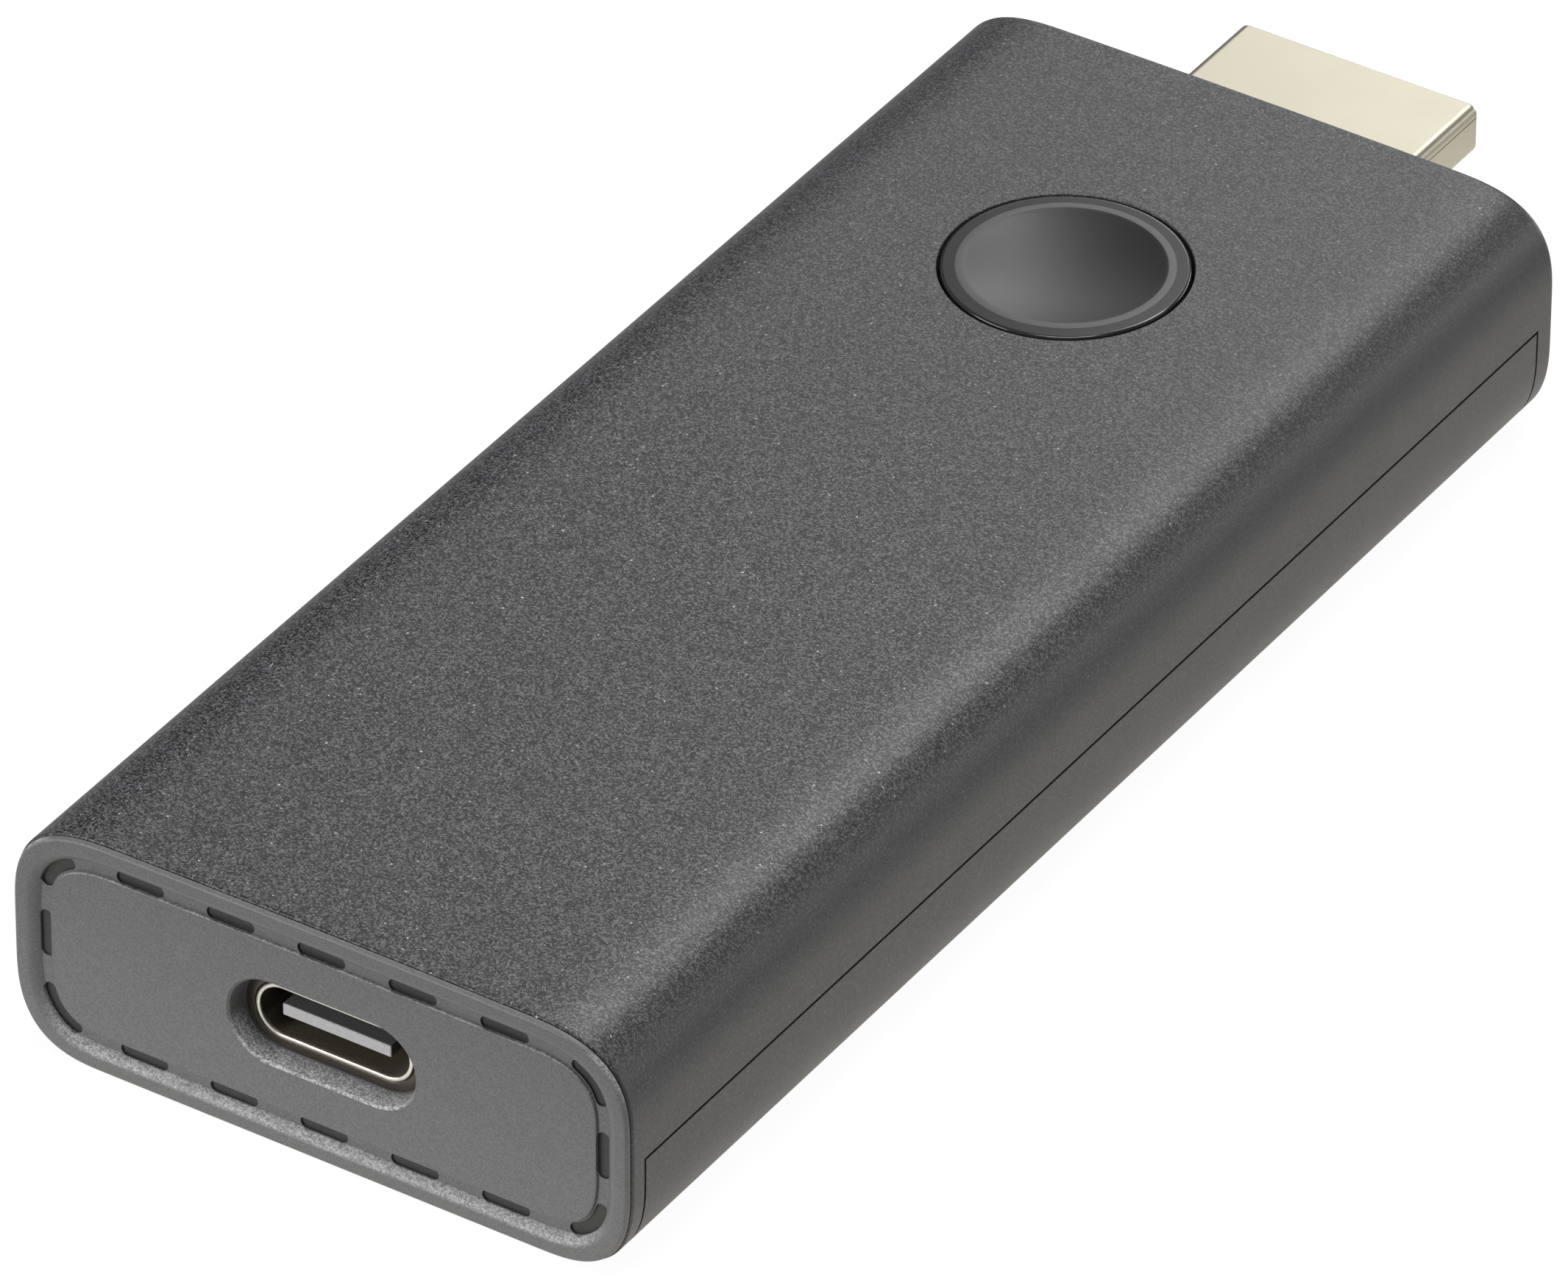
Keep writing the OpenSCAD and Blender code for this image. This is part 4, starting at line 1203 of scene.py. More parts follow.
class BoardGroup(SurfaceGroup):
    """Solder mask with copper tracks raised under it."""

    CELL = 4.0
    TRACKS = 38.0
    TRACK = (0.15, 0.4)
    TRACK_SHARE = 0.8
    CLOUD_SIZE = 1.5

    def texture(self) -> None:
        """Wires straight tracks between the edges of large cells."""
        distance, _ = self.cells(self.size * self.CELL, distance="CHEBYCHEV", feature="F1")
        track = self.ramp(self.math("SINE", distance * self.TRACKS), *self.TRACK)
        clouds = self.noise(self.CLOUD_SIZE)
        self.give(self.mix(self.blend(track, clouds, self.TRACK_SHARE)), self.uneven(clouds), track)


class ButtonGroup(SurfaceGroup):
    """Satin dish, lighter flat ring, and a polished shoulder round it."""

    RING_IN = 5.06
    RING_OUT = 5.45
    RING_ROUGH = 0.12
    BRINK = 6.03
    BLUR = 0.03
    CENTRE_Y = 18.63
    POLISH = 0.13
    SHOULDER_GREY = 1.9
    SHOULDER_ROUGH = 0.54
    SHADES = (0.85, 1.15)

    def texture(self) -> None:
        """Wires grain, colour and polish by the distance from the button's middle."""
        x, y, _ = self.split(self.place)
        off_y = y - self.CENTRE_Y
        radius = self.math("SQRT", x * x + off_y * off_y)
        beyond, outside, brink = [self.ramp(radius, limit - self.BLUR, limit + self.BLUR)
                                  for limit in (self.RING_IN, self.RING_OUT, self.BRINK)]
        within = 1.0 - outside
        ring = beyond * within
        grain = self.noise(self.size, self.FINE)
        satin = self.given("Roughness") + ring * self.RING_ROUGH
        shoulder = self.SHOULDER_ROUGH + brink * (self.POLISH - self.SHOULDER_ROUGH)
        shade = self.SHOULDER_GREY + within * (1.0 - self.SHOULDER_GREY)
        depth = shade * self.ramp(grain, *self.CONTRAST, *self.SHADES)
        self.give(self.scaled(self.mix(ring * self.amount), depth), shoulder + within * (satin - shoulder),
                  grain * within)


def fresh_graph(owner: bpy.types.Material | bpy.types.World) -> Graph:
    """Empties a node tree.

    Args:
        owner: the material or world that the tree belongs to.

    Returns:
        A graph for the empty tree.
    """
    owner.use_nodes = True
    owner.node_tree.nodes.clear()
    return Graph(owner.node_tree)


class Palette:
    """Makes each finish's material once."""

    GROUPS = {Texture.FLECK: FleckGroup, Texture.GRAIN: GrainGroup, Texture.BRUSHED: BrushedGroup,
              Texture.BOARD: BoardGroup, Texture.BUTTON: ButtonGroup, Texture.CAP: CapGroup,
              Texture.EDGED: EdgedGroup}
    SHARED = ("grain", "amount", "roughness", "spread", "along", "edge")
    COAT_ROUGH = 0.3

    def __init__(self) -> None:
        """Starts with no groups or materials."""
        self.groups: dict[Texture, SurfaceGroup] = {}
        self.materials: dict[str, bpy.types.Material] = {}

    def dress(self, obj: Solid, finish: str) -> None:
        """Gives an object one material.

        Args:
            obj: the object.
            finish: name of the finish; its material is made when first asked for.
        """
        if finish not in self.materials:
            self.materials[finish] = self.make(finish, FINISHES[finish])
        obj.data.materials.clear()
        obj.data.materials.append(self.materials[finish])

    def make(self, name: str, finish: Finish) -> bpy.types.Material:
        """Builds a finish's material.

        Args:
            name: the material's name.
            finish: the finish.

        Returns:
            Its material.
        """
        if finish.texture not in self.groups:
            self.groups[finish.texture] = self.GROUPS[finish.texture](finish.texture.value)
        material = bpy.data.materials.new(name)
        graph = fresh_graph(material)
        place = graph.put("ShaderNodeTexCoord", {})
        values = {"Vector": place["Object"], "Normal": place["Normal"], "Colour": (*finish.colour, 1.0),
                  "Second": (*finish.second, 1.0)}
        values |= {key.capitalize(): getattr(finish, key) for key in self.SHARED}
        surface = graph.put("ShaderNodeGroup", values, node_tree=self.groups[finish.texture].tree)
        bump = graph.get("ShaderNodeBump", {"Height": surface["Height"], "Distance": finish.relief * MM,
                                            "Strength": 1.0})
        shader = graph.get("ShaderNodeBsdfPrincipled", {
            "Base Color": surface["Colour"], "Roughness": surface["Roughness"], "Metallic": finish.metallic,
            "Coat Weight": finish.coat, "Coat Roughness": self.COAT_ROUGH, "Normal": bump})
        graph.put("ShaderNodeOutputMaterial", {"Surface": shader})
        return material


# Pieces


@dataclass(frozen=True)
class Workshop:
    """What every piece is made with."""

    lofter: Lofter
    palette: Palette
    row: CopiesInRow
    spread: CopiesOnPoints

    def repeat(self, tree: GeometryTree, solid: Solid, points: Sequence[Point3], **values: object) -> Solid:
        """Copies a solid with one of the trees.

        Args:
            tree: the tree that places the copies.
            solid: the solid, used up.
            points: the tree's starting points.
            values: the tree's other inputs.

        Returns:
            One object with all the copies.
        """
        obj = tree.grow(shape(solid.name + "_copies", points), {"Copy": solid} | values)
        bpy.data.objects.remove(solid)
        return obj

    def copies(self, solid: Solid, points: Sequence[Point3]) -> Solid:
        """Copies a solid to each point."""
        return self.repeat(self.spread, solid, points)

    def in_row(self, solid: Solid, count: int, pitch: float, crown: float = 0.0) -> Solid:
        """Copies a solid in a row across the body, at a pitch; the row's middle rises by the crown."""
        return self.repeat(self.row, solid, [(0.0, 0.0, 0.0)], Count=count, Pitch=pitch, Crown=crown,
                           **{"Half width": self.lofter.outline.half_w})


class Piece:
    """One visible piece, which stands for CAD nodes and rides on a body."""

    name = "piece"
    nodes: tuple[str, ...] = ()
    slot = ""
    finish = ""
    body = Body.STICK
    crease = 30.0

    def __init__(self, shop: Workshop) -> None:
        """Keeps the workshop."""
        self.shop = shop

    def make(self) -> Solid:
        """Makes the piece's solid in millimetres."""
        raise NotImplementedError

    def settle(self) -> Solid:
        """Makes the piece, puts it in the row frame and dresses it.

        Returns:
            The finished object.
        """
        obj = self.make()
        obj.name = obj.data.name = self.name
        obj.data.transform(Matrix.Scale(MM, 4) @ Matrix.Translation((0.0, -HALF_LENGTH, 0.0)))
        obj.data.shade_smooth()
        obj.data.set_sharp_from_angle(angle=math.radians(self.crease))
        modifier = obj.modifiers.new("normals", "WEIGHTED_NORMAL")
        modifier.keep_sharp = True
        plain(obj)
        self.shop.palette.dress(obj, self.finish or self.slot)
        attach(obj, self.body.value)
        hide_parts(*self.nodes)
        LOG.info("%s: %d faces, %d open edges, on %s",
                 self.name, len(obj.data.polygons), open_edges(obj.data), self.body.value)
        return obj


def open_edges(mesh: bpy.types.Mesh) -> int:
    """Counts the edges that don't join exactly two faces.

    Args:
        mesh: the mesh.

    Returns:
        How many there are.
    """
    work = bmesh.new()
    work.from_mesh(mesh)
    count = sum(not edge.is_manifold for edge in work.edges)
    work.free()
    return count


class UpperShell(Piece):
    """The top shell, with its near ring and its far wall."""

    name = "shell_upper"
    nodes = ("top_shell",)
    slot = "shell_paint"
    crease = 32.0

    def make(self) -> Solid:
        """Cuts the shell out of the rounded box, then adds its bosses and pins.

        Returns:
            The solid.
        """
        c, b, loft = CasingSizes(), ButtonSizes(), self.shop.lofter
        wide = loft.outline.half_w + OVER
        shell = loft.straight(self.name, 0.0, c.near, c.far, c.near_round, c.far_round)
        inset, top = c.wall - c.lip - c.fit_gap, c.seam_z + c.lip_h + c.fit_gap
        ledge = loft.straight("ledge", inset, c.cover_near + SLIVER, c.cover_far - SLIVER)
        work_on(ledge, [block("limit", (-wide, 0.0, -OVER), (wide, c.far, top))], Joining.KEEP)
        work_on(shell, [loft.straight("cavity", c.wall, c.near - OVER, c.cover_far - 2 * SLIVER),
                        loft.straight("ring", c.ring_wall, c.near - 2 * OVER, c.cover_near - SLIVER),
                        block("below", (-wide, c.cover_near, -OVER), (wide, c.cover_far, c.seam_z)), ledge])
        roof = b.body_top - loft.outline.crown - c.wall / 2
        spots = [(x, y, 0.0) for x in (-c.boss_x, c.boss_x) for y in (c.boss_near, c.boss_far)]
        bosses = self.shop.copies(pillar("boss", MIDDLE, c.boss_r, c.board_top, roof), spots)
        pins = self.shop.copies(pillar("pin", (0.0, b.y), b.guide_r, b.guide_bot, roof),
                                [(-b.guide_x, 0.0, 0.0), (b.guide_x, 0.0, 0.0)])
        work_on(shell, [bosses, pins], Joining.ADD)
        hole = pillar("hole", MIDDLE, c.boss_hole_r, c.board_top - OVER, c.boss_hole_end)
        plug = prism("plug_hole", plug_outline(-c.fit_gap / 2), c.cover_far - OVER, c.far + OVER)
        return work_on(shell, [self.button_hole(b), plug, self.shop.copies(hole, spots),
                               *tab_notches(c, True), *self.windows(c)])

    def windows(self, c: CasingSizes) -> list[Solid]:
        """Cutters for the windows that the hooks catch in.

        Args:
            c: the casing's sizes.

        Returns:
            The cutters.
        """
        h, x = HookSizes(), self.shop.lofter.outline.half_w - c.wall - c.fit_gap
        half, catch = h.wide / 2 + c.fit_gap, c.seam_z + h.catch
        across, up = (x - OVER, x + h.barb + c.fit_gap), (catch - c.fit_gap, catch + h.tip + c.fit_gap)
        return [side_block("window", side, across, (y - half, y + half), up)
                for y in hook_places(c) for side in SIDES]

    @staticmethod
    def button_hole(b: ButtonSizes) -> Solid:
        """A cutter for the button's hole, whose mouth is softly rounded.

        Args:
            b: the button's sizes.

        Returns:
            The cutter.
        """
        r = b.hole_round
        mouth = [(b.hole_r + r - r * math.cos(t), b.body_top - r + r * math.sin(t))
                 for t in even(b.hole_steps, QUARTER)]
        profile = [(0.0, b.hole_floor), (b.hole_r, b.hole_floor), *mouth, (b.hole_r + r, b.body_top + OVER),
                   (0.0, b.body_top + OVER)]
        return lathe("button_hole", profile, (0.0, b.y), b.turns)


def hook_places(c: CasingSizes) -> list[float]:
    """Where the snap hooks stand along the body."""
    return [c.cover_near + (c.cover_far - c.cover_near) * share for share in HookSizes().shares]


def plug_outline(inset: float) -> list[Point2]:
    """Cross-section of the video plug.

    Args:
        inset: how far it is moved inwards.

    Returns:
        x and z of its points.
    """
    p = PlugSizes()
    half, low = p.wide / 2, p.wide / 2 - p.lean
    right = [(half, p.top, p.corner), (half, p.top - p.side, p.corner), (low, p.top - p.high, p.low_corner)]
    left = [(-x, z, radius) for x, z, radius in reversed(right)]
    return rounded_corners(right + left, inset, p.least_corner)


def tab_notches(c: CasingSizes, top: bool) -> list[Solid]:
    """Room in a shell for the barbs of the cap's tabs.

    Args:
        c: the casing's sizes.
        top: whether they go in the top shell or the cover.

    Returns:
        A cutter for each side.
    """
    t = CapSizes()
    half = t.tab_w / 2 + c.fit_gap
    up = (t.tab_top - OVER, t.tab_top + t.tab_barb + c.fit_gap) if top else (
        t.tab_bot - t.tab_barb - c.fit_gap, t.tab_bot + OVER)
    along = (t.tab_end - t.tab_barb_len - c.fit_gap, t.tab_end + c.fit_gap)
    return [side_block("notch", side, (t.tab_x - half, t.tab_x + half), along, up) for side in SIDES]


class LowerCover(Piece):
    """The bottom cover, with its lips, hooks and posts."""

    name = "cover_lower"
    nodes = ("bottom_cover",)
    slot = "shell_paint"
    crease = 32.0

    def make(self) -> Solid:
        """Cuts the trough out of the rounded box and adds what stands on it.

        Returns:
            The solid.
        """
        c, h, loft = CasingSizes(), HookSizes(), self.shop.lofter
        wide = loft.outline.half_w + OVER
        near, far = c.cover_near + c.seam_gap, c.cover_far - c.seam_gap
        cover = loft.straight(self.name, 0.0, near, far)
        work_on(cover, [loft.straight("trough", c.wall, near - OVER, far + OVER),
                        block("above", (-wide, near - OVER, c.seam_z - c.seam_gap),
                              (wide, far + OVER, loft.outline.top_base + OVER))])
        lips = loft.straight("lips", c.wall - c.lip, c.cover_near + c.wall, c.cover_far - c.wall)
        work_on(lips, [loft.straight("within", c.wall, c.cover_near, c.cover_far)])
        work_on(lips, [block("band", (-wide, near, c.seam_z - c.wall), (wide, far, c.seam_z + c.lip_h))],
                Joining.KEEP)
        hooks = [self.hook(side, y) for y in hook_places(c) for side in SIDES]
        points = [(x, c.boss_near + (c.boss_far - c.boss_near) * share, 0.0)
                  for share in h.post_shares for x in (-c.boss_x, c.boss_x)]
        posts = self.shop.copies(pillar("post", MIDDLE, c.post_r, c.wall / 2, c.board_z), points)
        work_on(cover, [lips, *hooks, posts], Joining.ADD)
        return work_on(cover, tab_notches(c, False))

    def hook(self, side: int, y: float) -> Solid:
        """A snap hook.

        Args:
            side: 1 for the right side, -1 for the left one.
            y: its middle along the body.

        Returns:
            The solid.
        """
        c, h, half_w = CasingSizes(), HookSizes(), self.shop.lofter.outline.half_w
        x, foot = half_w - c.wall - c.fit_gap, half_w - c.wall / 2
        low, catch, rest = c.seam_z - h.root, c.seam_z + h.catch, c.seam_z - c.seam_gap - c.fit_gap
        outline = [(x - h.thick, low), (foot, low), (foot, rest), (x, rest), (x, catch), (x + h.barb, catch),
                   (x, catch + h.tip), (x - h.thick, catch + h.tip)]
        return prism("hook", [(side * a, z) for a, z in outline], y - h.wide / 2, y + h.wide / 2)


class FrontCap(Piece):
    """The end cap, with its vent slots and the recess for the power socket."""

    name = "cap_front"
    nodes = ("end_cap",)
    slot = "cap_plastic"
    crease = 26.0

    def make(self) -> Solid:
        """Skins the cap's profile round the outline, then cuts it.

        Returns:
            The solid.
        """
        s, u, loft = CapSizes(), SocketSizes(), self.shop.lofter
        edge = [(back, s.inset + into) for back, into in reversed(arc(s.edge_round))]
        lip = [(s.groove_y * share ** s.rim_fall, s.rim + (s.groove - s.rim) * share)
               for share in even(s.rim_steps)]
        brow = [(s.panel_y + into, s.panel + back) for back, into in arc(s.panel_round, s.panel_steps)]
        profile = [(s.depth, s.core), (s.plate_end, s.core), (s.plate_end, s.plate_inset),
                   (s.back, s.plate_inset), (s.back, s.inset), *edge, *lip, (s.groove_y, s.panel), *brow]
        cap = loft.over(self.name, profile)
        work_on(cap, [self.tab(side, up) for up in (True, False) for side in SIDES], Joining.ADD)
        mouth = stadium(u.wide + s.hole_gap, u.high + s.hole_gap, u.z)
        hole = prism("socket_hole", mouth, s.recess_y - OVER / 2, s.depth + OVER)
        return work_on(cap, [self.recess(s, u.z), hole, *self.slots(s)])

    @staticmethod
    def recess(s: CapSizes, z: float) -> Solid:
        """A cutter for the recess round the socket, with a rounded mouth.

        Args:
            s: the cap's sizes.
            z: height of its middle.

        Returns:
            The cutter.
        """
        r = s.recess_round
        mouth = [(s.panel_y + r * math.sin(t), r * (1 - math.sin(t))) for t in even(s.recess_steps, QUARTER)]
        return skin("recess", [ring_of(stadium(s.recess_w + 2 * grow, s.recess_h + 2 * grow, z), y)
                               for y, grow in [(-OVER, r), *mouth, (s.recess_y, 0.0)]])

    def slots(self, s: CapSizes) -> list[Solid]:
        """Cutters for the vent slots: rows above and below, one at each side and one round each corner.

        Args:
            s: the cap's sizes.

        Returns:
            The cutters.
        """
        o = self.shop.lofter.outline
        near, far = -OVER, s.groove_y + s.slot_deep
        middle = (o.top_base + o.crown) / 2
        straight = stadium(s.slot_len, s.slot_w, 0.0, s.end_steps)
        rows = [self.shop.in_row(prism("slot", [(x, z + up) for x, z in straight], near, far), s.slot_count,
                                 s.slot_pitch, crown)
                for up, crown in ((o.top_base - s.slot_in, o.crown), (s.slot_in, 0.0))]
        outlines = [[(side * (o.half_w - s.slot_in) + z, middle + x) for x, z in straight] for side in SIDES]
        outlines += [self.corner_slot(s, side, top) for side in SIDES for top in (True, False)]
        return rows + [prism("slot", outline, near, far) for outline in outlines]

    def corner_slot(self, s: CapSizes, side: int, top: bool) -> list[Point2]:
        """Outline of the slot round a corner.

        Args:
            s: the cap's sizes.
            side: 1 for the right corner, -1 for the left one.
            top: whether it is an upper corner.

        Returns:
            x and z of its points.
        """
        first, last = s.top_share if top else s.bot_share
        line = [Vector(self.shop.lofter.outline.corner(side, top, s.corner_in, first + share))
                for share in even(s.corner_steps, last - first)]
        steps = [after - before for before, after in zip(line[:1] + line, line[1:] + line[-1:])]
        away = [Vector((step.y, -step.x)).normalized() * (s.slot_w / 2) for step in steps]

        def end(centre: Vector, start: Vector, onward: Vector) -> list[Point2]:
            """Half a turn round an end of the slot.

            Args:
                centre: the end of the slot's middle line.
                start: from there to the outline's last point.
                onward: the way in which the middle line ends.

            Returns:
                x and z of the points between the two sides.
            """
            way = 1 if start.cross(onward) > 0 else -1
            return [(centre.x + start.x * math.cos(t) - way * start.y * math.sin(t),
                     centre.y + start.y * math.cos(t) + way * start.x * math.sin(t))
                    for t in even(s.end_steps, math.pi)[1:-1]]

        outer = [tuple(p + a) for p, a in zip(line, away)]
        inner = [tuple(p - a) for p, a in zip(line, away)][::-1]
        return (outer + end(line[-1], away[-1], line[-1] - line[-2]) + inner
                + end(line[0], -away[0], line[0] - line[1]))

    @staticmethod
    def tab(side: int, up: bool) -> Solid:
        """A barbed tab that holds the cap in the casing.

        Args:
            side: 1 for the right side, -1 for the left one.
            up: whether it reaches along the roof or the floor.

        Returns:
            The solid.
        """
        s = CapSizes()
        way, z = (1, s.tab_top) if up else (-1, s.tab_bot)
        y, inner, middle = s.tab_end - s.tab_barb_len, z - way * s.tab_t, side * s.tab_x
        outline = [(s.tab_root, z), (y, z), (y, z + way * s.tab_barb), (s.tab_end, z), (s.tab_end, inner),
                   (s.tab_root, inner)]
        return across_prism("tab", outline, middle - s.tab_w / 2, middle + s.tab_w / 2)


class PushButton(Piece):
    """The button: a dished top, a flat ring, a polished shoulder and a flange with ears."""

    name = "button_top"
    nodes = ("button_cap",)
    slot = "button_plastic"
    body = Body.BUTTON

    def make(self) -> Solid:
        """Turns the profile, adds the ears and bores them.

        Returns:
            The solid.
        """
        b = ButtonSizes()
        roof, within = b.ring_z - b.dish - b.floor, b.outer_r - b.wall
        low = b.ring_z - b.slope_drop - b.edge_round
        turns = [b.edge_tilt + t for t in reversed(even(b.edge_steps, QUARTER - b.edge_tilt))]
        brink = [(b.outer_r - b.edge_round * (1 - math.sin(t)), low + b.edge_round * math.cos(t))
                 for t in turns]
        ring = [(b.ring_out + r, b.ring_z + z) for r, z in b.ring_edge]
        profile = [(0.0, b.post_bot), (b.post_r, b.post_bot), (b.post_r, roof), (within, roof),
                   (within, b.flange_bot), (b.flange_r, b.flange_bot), (b.flange_r, b.flange_top),
                   (b.outer_r, b.flange_top), *brink, *ring, (b.ring_in + b.dish_gap, b.ring_z),
                   *reversed(bowl(b.ring_in, b.ring_z - b.dish, b.dish, b.dish_steps))]
        button = lathe(self.name, profile, (0.0, b.y), b.turns)
        half = b.ear_w / 2
        across, up = (b.outer_r, b.guide_x + half), (b.flange_bot, b.flange_top)
        ears = [side_block("ear", side, across, (b.y - half, b.y + half), up) for side in SIDES]
        work_on(button, ears, Joining.ADD)
        return work_on(button, [pillar("bore", (side * b.guide_x, b.y), b.guide_r + b.guide_gap,
                                       b.flange_bot - OVER, b.flange_top + OVER) for side in SIDES])


class SnapDome(Piece):
    """The switch's snap dome, which flattens as the button goes down."""

    name = "switch_snap"
    nodes = ("switch_dome",)
    slot = "steel"
    crease = 40.0

    def make(self) -> Solid:
        """Turns a thin domed profile.

        Returns:
            The solid.
        """
        d = DomeSizes()
        rise = d.high - d.thick
        inner = bowl(d.foot_r - d.thick, d.foot_z + rise, -rise, d.steps)
        outer = bowl(d.foot_r, d.foot_z + d.high, -rise, d.steps)
        return lathe(self.name, [*inner, (d.foot_r, d.foot_z), *reversed(outer)], (0.0, d.y), d.turns)

    def settle(self) -> Solid:
        """Makes the piece and gives it a mesh of its own.

        Returns:
            The finished object.
        """
        d, obj = DomeSizes(), super().settle()
        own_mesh(obj)
        return obj


class PlugSleeve(Piece):
    """The video plug's folded metal shell."""

    name = "plug_sleeve"
    nodes = ("plug_shell",)
    slot = "plug_metal"

    def make(self) -> Solid:
        """Skins the sleeve with its rolled mouth, adds its legs and cuts the fold's line.

        Returns:
            The solid.
        """
        p, c = PlugSizes(), CasingSizes()
        roll = [(p.far - back, into) for back, into in reversed(arc(p.roll))]
        stops = [(p.near, 0.0), (c.far, 0.0), *roll, (p.far - p.rim_round, p.wall + p.rim_step),
                 (p.far - 2 * p.rim_round - p.wall, p.wall), (p.near, p.wall)]
        sleeve = skin(self.name, [ring_of(plug_outline(inset), y) for y, inset in stops], endless=True)
        half, z = p.wide / 2, p.top - p.fold_drop
        along, up = (p.near + p.leg_near, p.near + p.leg_far), (c.board_z, p.top - p.side + p.corner)
        legs = [side_block("leg", side, (half - p.wall, half), along, up) for side in SIDES]
        work_on(sleeve, legs, Joining.ADD)
        across, along = (half - p.fold_depth, half + OVER), (p.near + p.fold_near, p.far + OVER)
        return work_on(sleeve, [side_block("fold", side, across, along, (z - p.fold_w, z)) for side in SIDES])


class PowerSocket(Piece):
    """The power socket's drawn steel shell."""

    name = "socket_sleeve"
    nodes = ("socket_shell",)
    slot = "steel"
    finish = "socket_steel"

    def make(self) -> Solid:
        """Skins the sleeve with its rounded mouth and adds its legs.

        Returns:
            The solid.
        """
        u, c = SocketSizes(), CasingSizes()
        rim = [(u.near + into, back) for back, into in arc(u.wall / 2, u.round_steps, math.pi)]
        collar = [(u.floor - u.collar_proud * math.sin(QUARTER * share),
                   -u.collar_out + (u.collar_out - u.collar_in) * share) for share in even(u.round_steps)]
        stops = [(u.far, 0.0), (u.floor_back, 0.0), (u.floor_back, -u.collar_out), *collar,
                 (u.floor, -u.collar_foot), *rim, (u.far, u.wall)]
        rings = [ring_of(stadium(u.wide - 2 * inset, u.high - 2 * inset, u.z), y) for y, inset in stops]
        across, up = (u.wide / 2 - u.wall, u.wide / 2), (c.board_z, u.z)
        legs = [side_block("leg", side, across, (u.near + y, u.near + y + u.leg_len), up)
                for y in u.legs for side in SIDES]
        return work_on(skin(self.name, rings, endless=True), legs, Joining.ADD)


class SocketTongue(Piece):
    """The power socket's insulator, with its thin tongue."""

    name = "socket_tongue"
    nodes = ("socket_insulator",)
    slot = "tongue_plastic"

    def make(self) -> Solid:
        """Joins the tongue to its base and sinks room for the contacts.

        Returns:
            The solid.
        """
        u = SocketSizes()
        outline = stadium(u.wide - u.base_slack, u.high - u.base_slack, u.z)
        base = prism(self.name, outline, u.base_near, u.far)
        half, thin = u.tongue_w / 2, u.tongue_t / 2
        tongue = block("tongue", (-half, u.tongue_near, u.z - thin), (half, u.far, u.z + thin), u.tongue_edge)
        work_on(base, [tongue], Joining.ADD)
        return work_on(base, socket_rows(self.shop, u.contact_gap))


def socket_rows(shop: Workshop, grow: float) -> list[Solid]:
    """Both rows of the power socket's contacts.

    Args:
        shop: the workshop.
        grow: how far each contact is grown, to cut room for it.

    Returns:
        One object for each row.
    """
    u, board = SocketSizes(), CasingSizes().board_top
    near, thick, half = u.contact_near, u.contact_t, u.contact_w / 2 + grow
    rows = []
    for row, way in enumerate((-1, 1)):
        z, tail = u.z + way * u.tongue_t / 2 - thick / 2, u.far + u.tail * (row + 1)
        top, foot = z + thick, tail + u.tail / 2
        if grow:
            front, low, high = near - grow, z - grow, top + grow
            outline = [(front, low), (tail, low), (tail, high), (front, high)]
        else:
            outline = [(near, z), (near + u.contact_slope, top), (tail, top), (tail, board + thick),
                       (foot, board + thick), (foot, board), (tail - thick, board), (tail - thick, z)]
        rows.append(shop.in_row(across_prism("contact", outline, -half, half), u.count, u.pitch))
    return rows


class SocketContacts(Piece):
    """The power socket's two rows of contacts."""

    name = "socket_pins"
    nodes = ("socket_contacts",)
    slot = "contact_metal"
    crease = 32.0

    def make(self) -> Solid:
        """Joins both rows."""
        low, high = socket_rows(self.shop, 0.0)
        return work_on(low, [high], Joining.ADD)


PIECES = (UpperShell, LowerCover, FrontCap, PushButton, SnapDome, PlugSleeve, PowerSocket, SocketTongue,
          SocketContacts)


# Studio


@dataclass(frozen=True)
class Softbox:
    """A flat lamp that looks at the object's middle; lengths in metres."""

    name: str
    place: Point3
    wide: float
    high: float
    power: float
    aim: Point3 = (0.0, 0.0, 0.006)

    def hang(self) -> None:
        """Adds the lamp, unseen by the camera."""
        lamp = bpy.data.lights.new(self.name, "AREA")
        lamp.shape = "RECTANGLE"
        lamp.size, lamp.size_y, lamp.energy = self.wide, self.high, self.power
        obj = bpy.data.objects.new(self.name, lamp)
        obj.location = self.place
        obj.rotation_euler = (Vector(self.aim) - Vector(self.place)).to_track_quat("-Z", "Y").to_euler()
        obj.visible_camera = False
        bpy.context.scene.collection.objects.link(obj)


@dataclass(frozen=True)
class CameraSizes:
    """Where the camera stands; lengths in millimetres, angles in degrees."""

    turn: float = 32.8998
    rise: float = 35.7245
    roll: float = 0.2002
    lens: float = 365.54
    sensor: float = 36.0
    distance: float = 767.9176
    aim: Point3 = (0.0, -6.3, 6.0)
    aside: float = -0.2103
    above: float = 0.0239
    clip: Point2 = (0.01, 20.0)


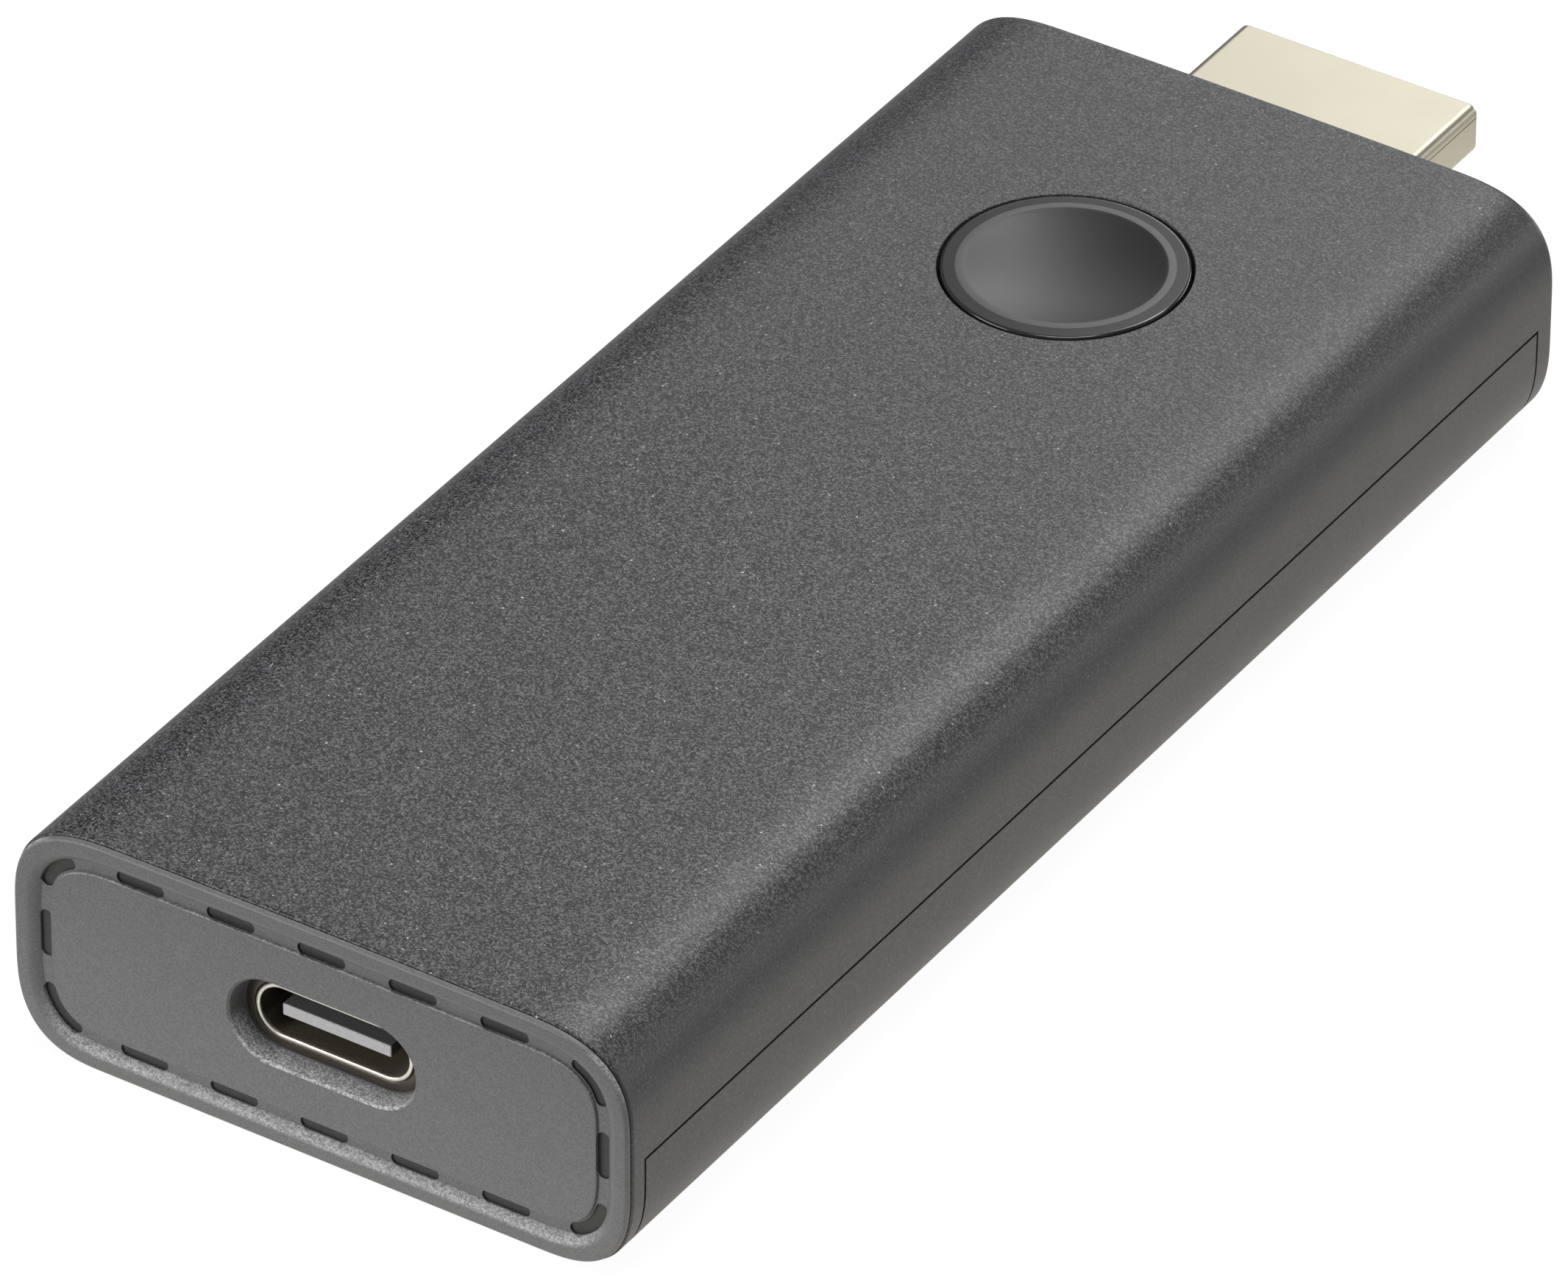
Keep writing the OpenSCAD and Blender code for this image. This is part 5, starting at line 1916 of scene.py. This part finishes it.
class Studio:
    """Camera, floor, backdrop and lamps; lengths in metres."""

    LAMPS = (
        Softbox("top", (0.183, -0.209, 1.576), 0.8, 0.8, 14.4),
        Softbox("front", (-0.910, -1.223, 0.486), 0.9, 0.5, 13.5),
        Softbox("side_low", (1.472, 0.586, 0.223), 0.9, 0.4, 1.8),
        Softbox("side_behind", (0.554, 1.484, 0.223), 0.9, 0.4, 6.0),
        Softbox("behind", (-0.070, 0.989, 1.255), 0.48, 0.2, 5.7),
        Softbox("behind_left", (-0.537, 1.220, 0.885), 0.23, 1.0, 2.3),
        Softbox("behind_low", (-0.692, 1.302, 0.621), 0.55, 0.42, 0.8),
        Softbox("glint", (0.276, -0.117, 0.742), 0.07, 0.07, 0.12),
    )
    FLOOR_HALF = 3.0
    SKY = 0.02
    FLOOR_WHITE = 1.2
    FLOOR_SHARE = 0.8
    FLOOR_GREY = (0.4, 0.4, 0.4, 1.0)
    FLOOR_WARM = (1.0, 0.96, 0.88, 1.0)
    GLOW: Ramp = (0.004, 0.030, 0.6, 0.0)
    FOOT = (0.0174, 0.0465)

    def camera(self) -> None:
        """Adds the calibrated camera."""
        s = CameraSizes()
        turn, rise, roll = (math.radians(a) for a in (s.turn, s.rise, s.roll))
        back = Vector((math.sin(turn) * math.cos(rise), -math.cos(turn) * math.cos(rise), math.sin(rise)))
        right = Vector((0.0, 0.0, 1.0)).cross(back).normalized()
        up = back.cross(right)
        right, up = right * math.cos(roll) + up * math.sin(roll), up * math.cos(roll) - right * math.sin(roll)
        data = bpy.data.cameras.new("camera")
        data.sensor_width, data.lens, data.sensor_fit = s.sensor, s.lens, "HORIZONTAL"
        data.clip_start, data.clip_end = s.clip
        obj = bpy.data.objects.new("camera", data)
        place = (Vector(s.aim) + right * s.aside + up * s.above + back * s.distance) * MM
        obj.matrix_world = Matrix.Translation(place) @ Matrix((right, up, back)).transposed().to_4x4()
        bpy.context.scene.collection.objects.link(obj)
        bpy.context.scene.camera = obj

    def floor(self) -> None:
        """Adds the floor, seen white with a faint shadow, which glows softly on the object beside it."""
        h = self.FLOOR_HALF
        obj = shape("floor", [(-h, -h, 0.0), (h, -h, 0.0), (h, h, 0.0), (-h, h, 0.0)], [(0, 1, 2, 3)])
        material = bpy.data.materials.new("floor")
        graph = fresh_graph(material)
        matt = graph.get("ShaderNodeBsdfDiffuse", {"Color": self.FLOOR_GREY})
        white = graph.get("ShaderNodeEmission", {"Color": WHITE, "Strength": self.FLOOR_WHITE})
        seen = graph.put("ShaderNodeLightPath", {})["Is Camera Ray"]
        mixed = graph.run("ShaderNodeMixShader", seen * self.FLOOR_SHARE, matt, white)
        place = graph.split(graph.put("ShaderNodeTexCoord", {})["Object"])
        off_x, off_y = [graph.math("MAXIMUM", abs(axis) - half, 0.0) for axis, half in zip(place, self.FOOT)]
        near = graph.ramp(graph.math("SQRT", off_x * off_x + off_y * off_y), *self.GLOW)
        glow = graph.get("ShaderNodeEmission", {"Color": self.FLOOR_WARM, "Strength": (1.0 - seen) * near})
        graph.put("ShaderNodeOutputMaterial", {"Surface": graph.run("ShaderNodeAddShader", mixed, glow)})
        obj.data.materials.append(material)

    def sky(self) -> None:
        """Adds a white backdrop for the camera, and a faint dome for the light."""
        world = bpy.data.worlds.new("sky")
        bpy.context.scene.world = world
        graph = fresh_graph(world)
        dome, white = [graph.get("ShaderNodeBackground", {"Color": WHITE, "Strength": strength})
                       for strength in (self.SKY, 1.0)]
        seen = graph.put("ShaderNodeLightPath", {})["Is Camera Ray"]
        graph.put("ShaderNodeOutputWorld", {"Surface": graph.run("ShaderNodeMixShader", seen, dome, white)})

    def build(self) -> None:
        """Sets the whole studio up."""
        self.camera()
        self.floor()
        self.sky()
        for lamp in self.LAMPS:
            lamp.hang()
        bpy.context.scene.view_settings.view_transform = "Standard"


def dress_nodes(frame: dict, palette: Palette, hidden: set[str]) -> int:
    """Gives every CAD node that stays its procedural material.

    Args:
        palette: where the materials come from.
        hidden: names of the nodes that pieces stand for.

    Returns:
        How many nodes were dressed.
    """
    slots = {part["node"]: part["material_slot"] for part in frame["record"]["subparts"]}
    shown = {name: obj for name, obj in frame["nodes"].items() if name not in hidden}
    for name, obj in shown.items():
        palette.dress(obj, slots[name])
    return len(shown)


def main() -> None:
    """Builds the pieces in order, dresses the nodes and sets the studio up."""
    logging.basicConfig(level=logging.INFO, format="%(name)s: %(message)s")
    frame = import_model()
    shop = Workshop(Lofter(OutlineSizes()), Palette(), CopiesInRow("copies in a row"),
                    CopiesOnPoints("copies on points"))
    for kind in PIECES:
        kind(shop).settle()
    hidden = {node for kind in PIECES for node in kind.nodes}
    LOG.info("%d nodes keep their shape", dress_nodes(frame, shop.palette, hidden))
    Studio().build()


if __name__ == "__main__":
    main()
